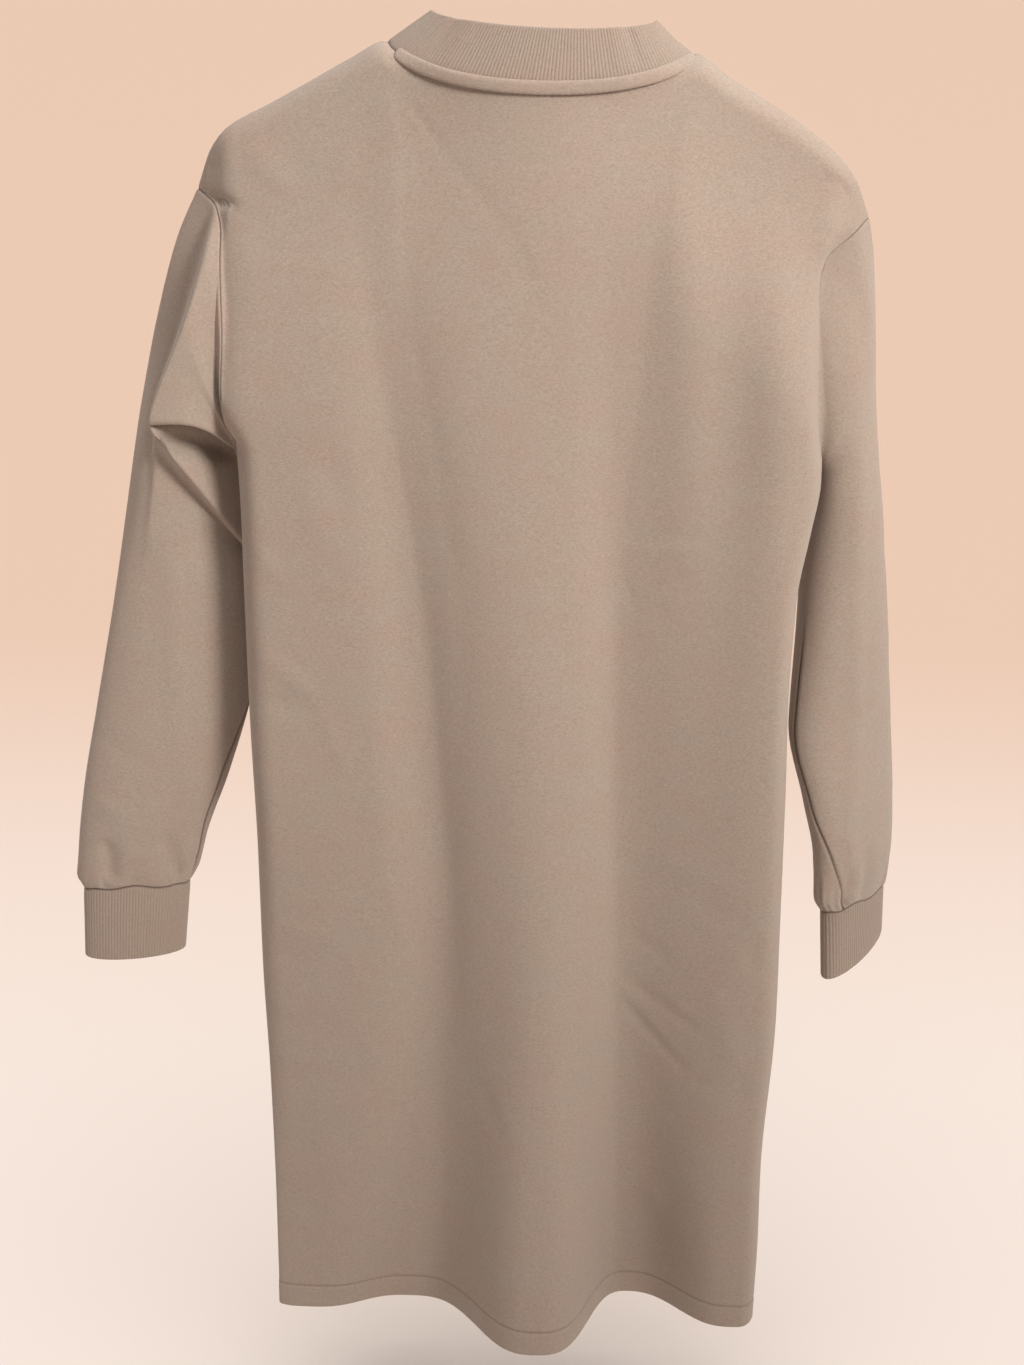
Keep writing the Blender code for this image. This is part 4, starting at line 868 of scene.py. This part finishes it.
def neck_tape(panel, normals, collar_seam, collar_ends, first, material):
    """The padded tape over the back neck seam, blunt at both ends."""
    below = panel[first : first + len(collar_seam)]
    up = unit(collar_ends - collar_seam) - unit(below[:, 6] - below[:, 0])
    longer = np.concatenate([collar_seam[:1], collar_seam, collar_seam[-1:]])
    out = np.cross(up, longer[2:] - longer[:-2])
    out *= np.sign(np.sum(out * normals, -1, keepdims=True))
    run = run_along(collar_seam)
    ends = TAPE_SHORT[1], run[-1] - TAPE_SHORT[-1]
    even = np.linspace(0, math.pi, TAPE_POINTS)
    crowded = ends[0] + (ends[1] - ends[0]) * (0.5 - 0.5 * np.cos(even))
    at = (crowded + np.linspace(*ends, TAPE_POINTS)) / 2
    lines = collar_seam, unit(up), unit(out)
    middle, upward, outward = (at_run(at, run, line)[:, None] for line in lines)
    angle = np.linspace(0, 2 * math.pi, TAPE_AROUND, endpoint=False)
    end = np.minimum(at - at[0], at[-1] - at)
    blunt = round_off((end + 1e-4) / 0.003)[:, None]
    high = TAPE_HIGH * np.sign(np.sin(angle)) * np.abs(np.sin(angle)) ** TAPE_POWER
    thick = TAPE_THICK * np.sign(np.cos(angle)) * np.abs(np.cos(angle)) ** TAPE_POWER
    pinch = 1 - 0.1 * np.abs(np.sin(at / TAPE_STITCH * math.pi))[:, None] * (np.sin(angle) < -0.6)
    points = (middle + upward * (high * blunt * pinch - 0.0003)[..., None]
              + outward * (TAPE_OUT + thick * (0.25 + 0.75 * blunt))[..., None])
    ring = np.arange(TAPE_POINTS * TAPE_AROUND).reshape(TAPE_POINTS, TAPE_AROUND)
    beside = np.roll(ring, -1, 1)
    faces = np.stack([ring[:-1], beside[:-1], beside[1:], ring[1:]], -1).reshape(-1, 4).tolist()
    faces += [ring[0, ::-1].tolist(), ring[-1].tolist()]
    return mesh_object("neck_tape_cloth", points, faces, material)


def add_node(tree, kind, values=(), **fed):
    """A shader node with constant values by socket name, and sockets fed by other outputs."""
    node = tree.nodes.new("ShaderNode" + kind)
    for name, value in dict(values).items():
        node.inputs[name].default_value = value
    for name, output in fed.items():
        tree.links.new(output, node.inputs[name])
    return node


def add_ramp(tree, fac, first, second, low=0.0, high=1.0):
    node = add_node(tree, "ValToRGB", Fac=fac)
    for element, place, colour in zip(node.color_ramp.elements, (low, high), (first, second)):
        element.position = place
        element.color = (*colour, 1.0)
    return node.outputs["Color"]


def new_material(name, roughness, specular):
    """A material with its node tree and its Principled shader."""
    material = bpy.data.materials.new(name)
    material.use_nodes = True
    shader = material.node_tree.nodes["Principled BSDF"]
    shader.inputs["Roughness"].default_value = roughness
    shader.inputs["Specular IOR Level"].default_value = specular
    return material, material.node_tree, shader


def cloth_material(name, colour, deep, scale=1.0):
    """Brushed cloth: mottled colour, soft sheen, a fine nap and painted shade along the seams."""
    material, tree, shader = new_material(name, 0.92, 0.15)
    shader.inputs["Sheen Weight"].default_value = 0.25
    shader.inputs["Sheen Roughness"].default_value = 0.6
    shader.inputs["Sheen Tint"].default_value = (1.0, 0.93, 0.87, 1.0)
    place = add_node(tree, "TexCoord").outputs["Object"]
    stretched = add_node(tree, "Mapping", {"Scale": (1.0, 1.0, 1.7)}, Vector=place).outputs["Vector"]

    def noise(size, detail, roughness):
        values = {"Scale": size, "Detail": detail, "Roughness": roughness}
        return add_node(tree, "TexNoise", values, Vector=stretched).outputs["Fac"]

    def multiply(first, second):
        made = add_node(tree, "Mix")
        made.data_type = "RGBA"
        made.blend_type = "MULTIPLY"
        made.inputs["Factor"].default_value = 1.0
        tree.links.new(first, made.inputs["A"])
        tree.links.new(second, made.inputs["B"])
        return made.outputs["Result"]

    grain = add_ramp(tree, noise(520.0 * scale, 5.0, 0.75), deep, colour, 0.34, 0.66)
    blotches = noise(26.0, 3.0, 0.6)
    cast = add_ramp(tree, blotches, (1.0, 0.965, 0.95), (0.975, 1.0, 0.985), 0.36, 0.64)
    # Painted shade: the base colour is darkened along the seams, mostly for the shadow in their grooves and
    # partly for the dark thread.
    thread_and_seam_shade = add_node(tree, "Attribute")
    thread_and_seam_shade.attribute_name = "thread_and_seam_shade"
    painted_seam_shade = add_ramp(tree, thread_and_seam_shade.outputs["Fac"], (1.0, 1.0, 1.0), (0.34, 0.29, 0.27))
    tree.links.new(multiply(multiply(grain, cast), painted_seam_shade), shader.inputs["Base Color"])
    nap = noise(1100.0 * scale, 6.0, 0.75)
    raised = add_node(tree, "Bump", {"Strength": 0.4, "Distance": 0.0006}, Height=nap)
    tree.links.new(raised.outputs["Normal"], shader.inputs["Normal"])
    return material


def build_dress():
    """The shells of all pieces, by the names of their nodes."""
    fleece = cloth_material("fleece", (0.356, 0.279, 0.231), (0.262, 0.202, 0.163))
    rib_knit = cloth_material("rib_knit", (0.322, 0.247, 0.204), (0.24, 0.182, 0.145), 1.3)
    back, front = body_surface("back"), body_surface("front")
    sleeves = {}
    for sign in (1, -1):
        points, seam, turn, t = sleeve_surface(sign)
        parts = points, seam, *sleeve_relief(sign, points, turn, t)
        sleeves[sign] = [part[::sign] for part in parts]
    surfaces = [(back, False), (front[::-1], False), (sleeves[1][0], True), (sleeves[-1][0], True)]
    normals = common_normals(surfaces)
    _, turns, first = body_places()
    count = len(turns)
    neck = slice(first, first + count)
    seam = joined(back[neck, 0], front[neck, 0])
    ends = neck_ring(COLLAR_TOP, joined(turns, math.pi - turns))
    run = np.roll(seam, -1, 0) - np.roll(seam, 1, 0)
    face = unit(np.cross(ends - seam, run))
    face *= np.sign(np.sum(face * (seam - seam.mean(axis=0)), -1, keepdims=True))
    shared = unit(face + joined(normals[0][neck, 0], normals[1][::-1][neck, 0]))

    made = {
        "back_panel": panel_shell("back_panel_cloth", back, normals[0], fleece),
        "front_panel": panel_shell("front_panel_cloth", front[::-1], normals[1], fleece),
    }
    sides = (1, "left_", normals[2]), (-1, "right_", normals[3])
    for sign, side, facing in sides:
        # sewn here is the painted shade along the underarm seam
        points, _, relief, groove, sewn = sleeves[sign]
        made[side + "sleeve"] = sleeve_shell(
            side + "sleeve_cloth", points, facing, relief, groove, sewn, fleece
        )
    made["neck_rib"] = rib_ring(
        "neck_rib_cloth", seam, shared, ends, NECK_RIBS, rib_knit, COLLAR_FOLDS
    )
    made["neck_tape"] = neck_tape(back, shared[:count], seam[:count], ends[:count], first, fleece)
    for sign, side, facing in sides:
        points, plain = sleeves[sign][:2]
        made[side + "cuff"] = rib_ring(
            side + "cuff_cloth", points[:, -1], facing[:, -1], cuff_end(sign, plain), CUFF_RIBS, rib_knit
        )
    return made


made = build_dress()
for node, piece in made.items():
    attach(piece, "root")
    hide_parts(node)


FLOOR_Z = -1.06  # below the hem, which hangs free
FLOOR_FAR = 60.0  # how far the floor reaches


def add_floor():
    """A large pale floor below the dress, warmer further away."""
    mesh = bpy.data.meshes.new("floor")
    places = [(-FLOOR_FAR, -FLOOR_FAR), (FLOOR_FAR, -FLOOR_FAR), (FLOOR_FAR, 6.0), (-FLOOR_FAR, 6.0)]
    mesh.from_pydata([(x, y, FLOOR_Z) for x, y in places], [], [(0, 1, 2, 3)])
    floor = bpy.data.objects.new("floor", mesh)
    bpy.context.scene.collection.objects.link(floor)
    material, tree, shader = new_material("floor", 0.9, 0.1)
    split = add_node(tree, "SeparateXYZ", Vector=add_node(tree, "TexCoord").outputs["Object"])
    reach = add_node(tree, "MapRange", {"From Min": -1.9, "From Max": -0.3}, Value=split.outputs["Y"])
    reach.interpolation_type = "SMOOTHSTEP"
    colour = add_ramp(tree, reach.outputs["Result"], (0.8, 0.58, 0.455), (0.91, 0.8, 0.735))
    tree.links.new(colour, shader.inputs["Base Color"])
    mesh.materials.append(material)
    return floor


add_floor()


def add_light(name, place, target, size, spread, power, colour):
    """A round soft box: its beam narrows with the spread, in degrees."""
    data = bpy.data.lights.new(name, "AREA")
    data.shape = "DISK"
    data.size = size
    data.spread = math.radians(spread)
    data.energy = power
    data.color = colour
    lamp = bpy.data.objects.new(name, data)
    lamp.location = place
    toward = Vector(target) - Vector(place)
    lamp.rotation_euler = toward.to_track_quat("-Z", "Y").to_euler()
    bpy.context.scene.collection.objects.link(lamp)
    return lamp


def add_world():
    """Even studio light that comes mostly from above."""
    world = bpy.data.worlds.new("studio")
    world.use_nodes = True
    tree = world.node_tree
    background = tree.nodes["Background"]
    background.inputs["Color"].default_value = (1.0, 0.975, 0.95, 1.0)
    split = add_node(tree, "SeparateXYZ", Vector=add_node(tree, "TexCoord").outputs["Generated"])
    value = split.outputs["Z"]
    for operation, constants in (("MAXIMUM", (0.0,)), ("POWER", (4.0,)), ("MULTIPLY_ADD", (2.7, 0.16))):
        step = add_node(tree, "Math")
        step.operation = operation
        for k, constant in enumerate(constants):
            step.inputs[k + 1].default_value = constant
        tree.links.new(value, step.inputs[0])
        value = step.outputs["Value"]
    tree.links.new(value, background.inputs["Strength"])
    bpy.context.scene.world = world


dress = bpy.data.collections.new("dress")
for piece in made.values():
    dress.objects.link(piece)
key = add_light("key", (-1.85, 2.0, 1.45), (0.0, 0.0, 0.08), 1.0, 44.0, 9.3, (1.0, 0.98, 0.94))
key.light_linking.receiver_collection = dress
add_world()
bpy.context.scene.view_settings.view_transform = "Standard"


def add_camera():
    """Looks at the back of the dress from a little above, with a slight roll."""
    down = math.radians(22.0)
    roll = math.radians(1.5)
    ahead = Vector((0.0, -math.cos(down), -math.sin(down)))
    level = Vector((-1.0, 0.0, 0.0))
    upright = level.cross(ahead)
    right = level * math.cos(roll) + upright * math.sin(roll)
    up = upright * math.cos(roll) - level * math.sin(roll)
    data = bpy.data.cameras.new("camera")
    data.sensor_width = 36.0
    data.lens = 52.747
    camera = bpy.data.objects.new("camera", data)
    turned = Matrix((right, up, -ahead)).transposed().to_4x4()
    turned.translation = Vector((0.0073, 1.3, 0.10295))
    camera.matrix_world = turned
    bpy.context.scene.collection.objects.link(camera)
    bpy.context.scene.camera = camera


add_camera()
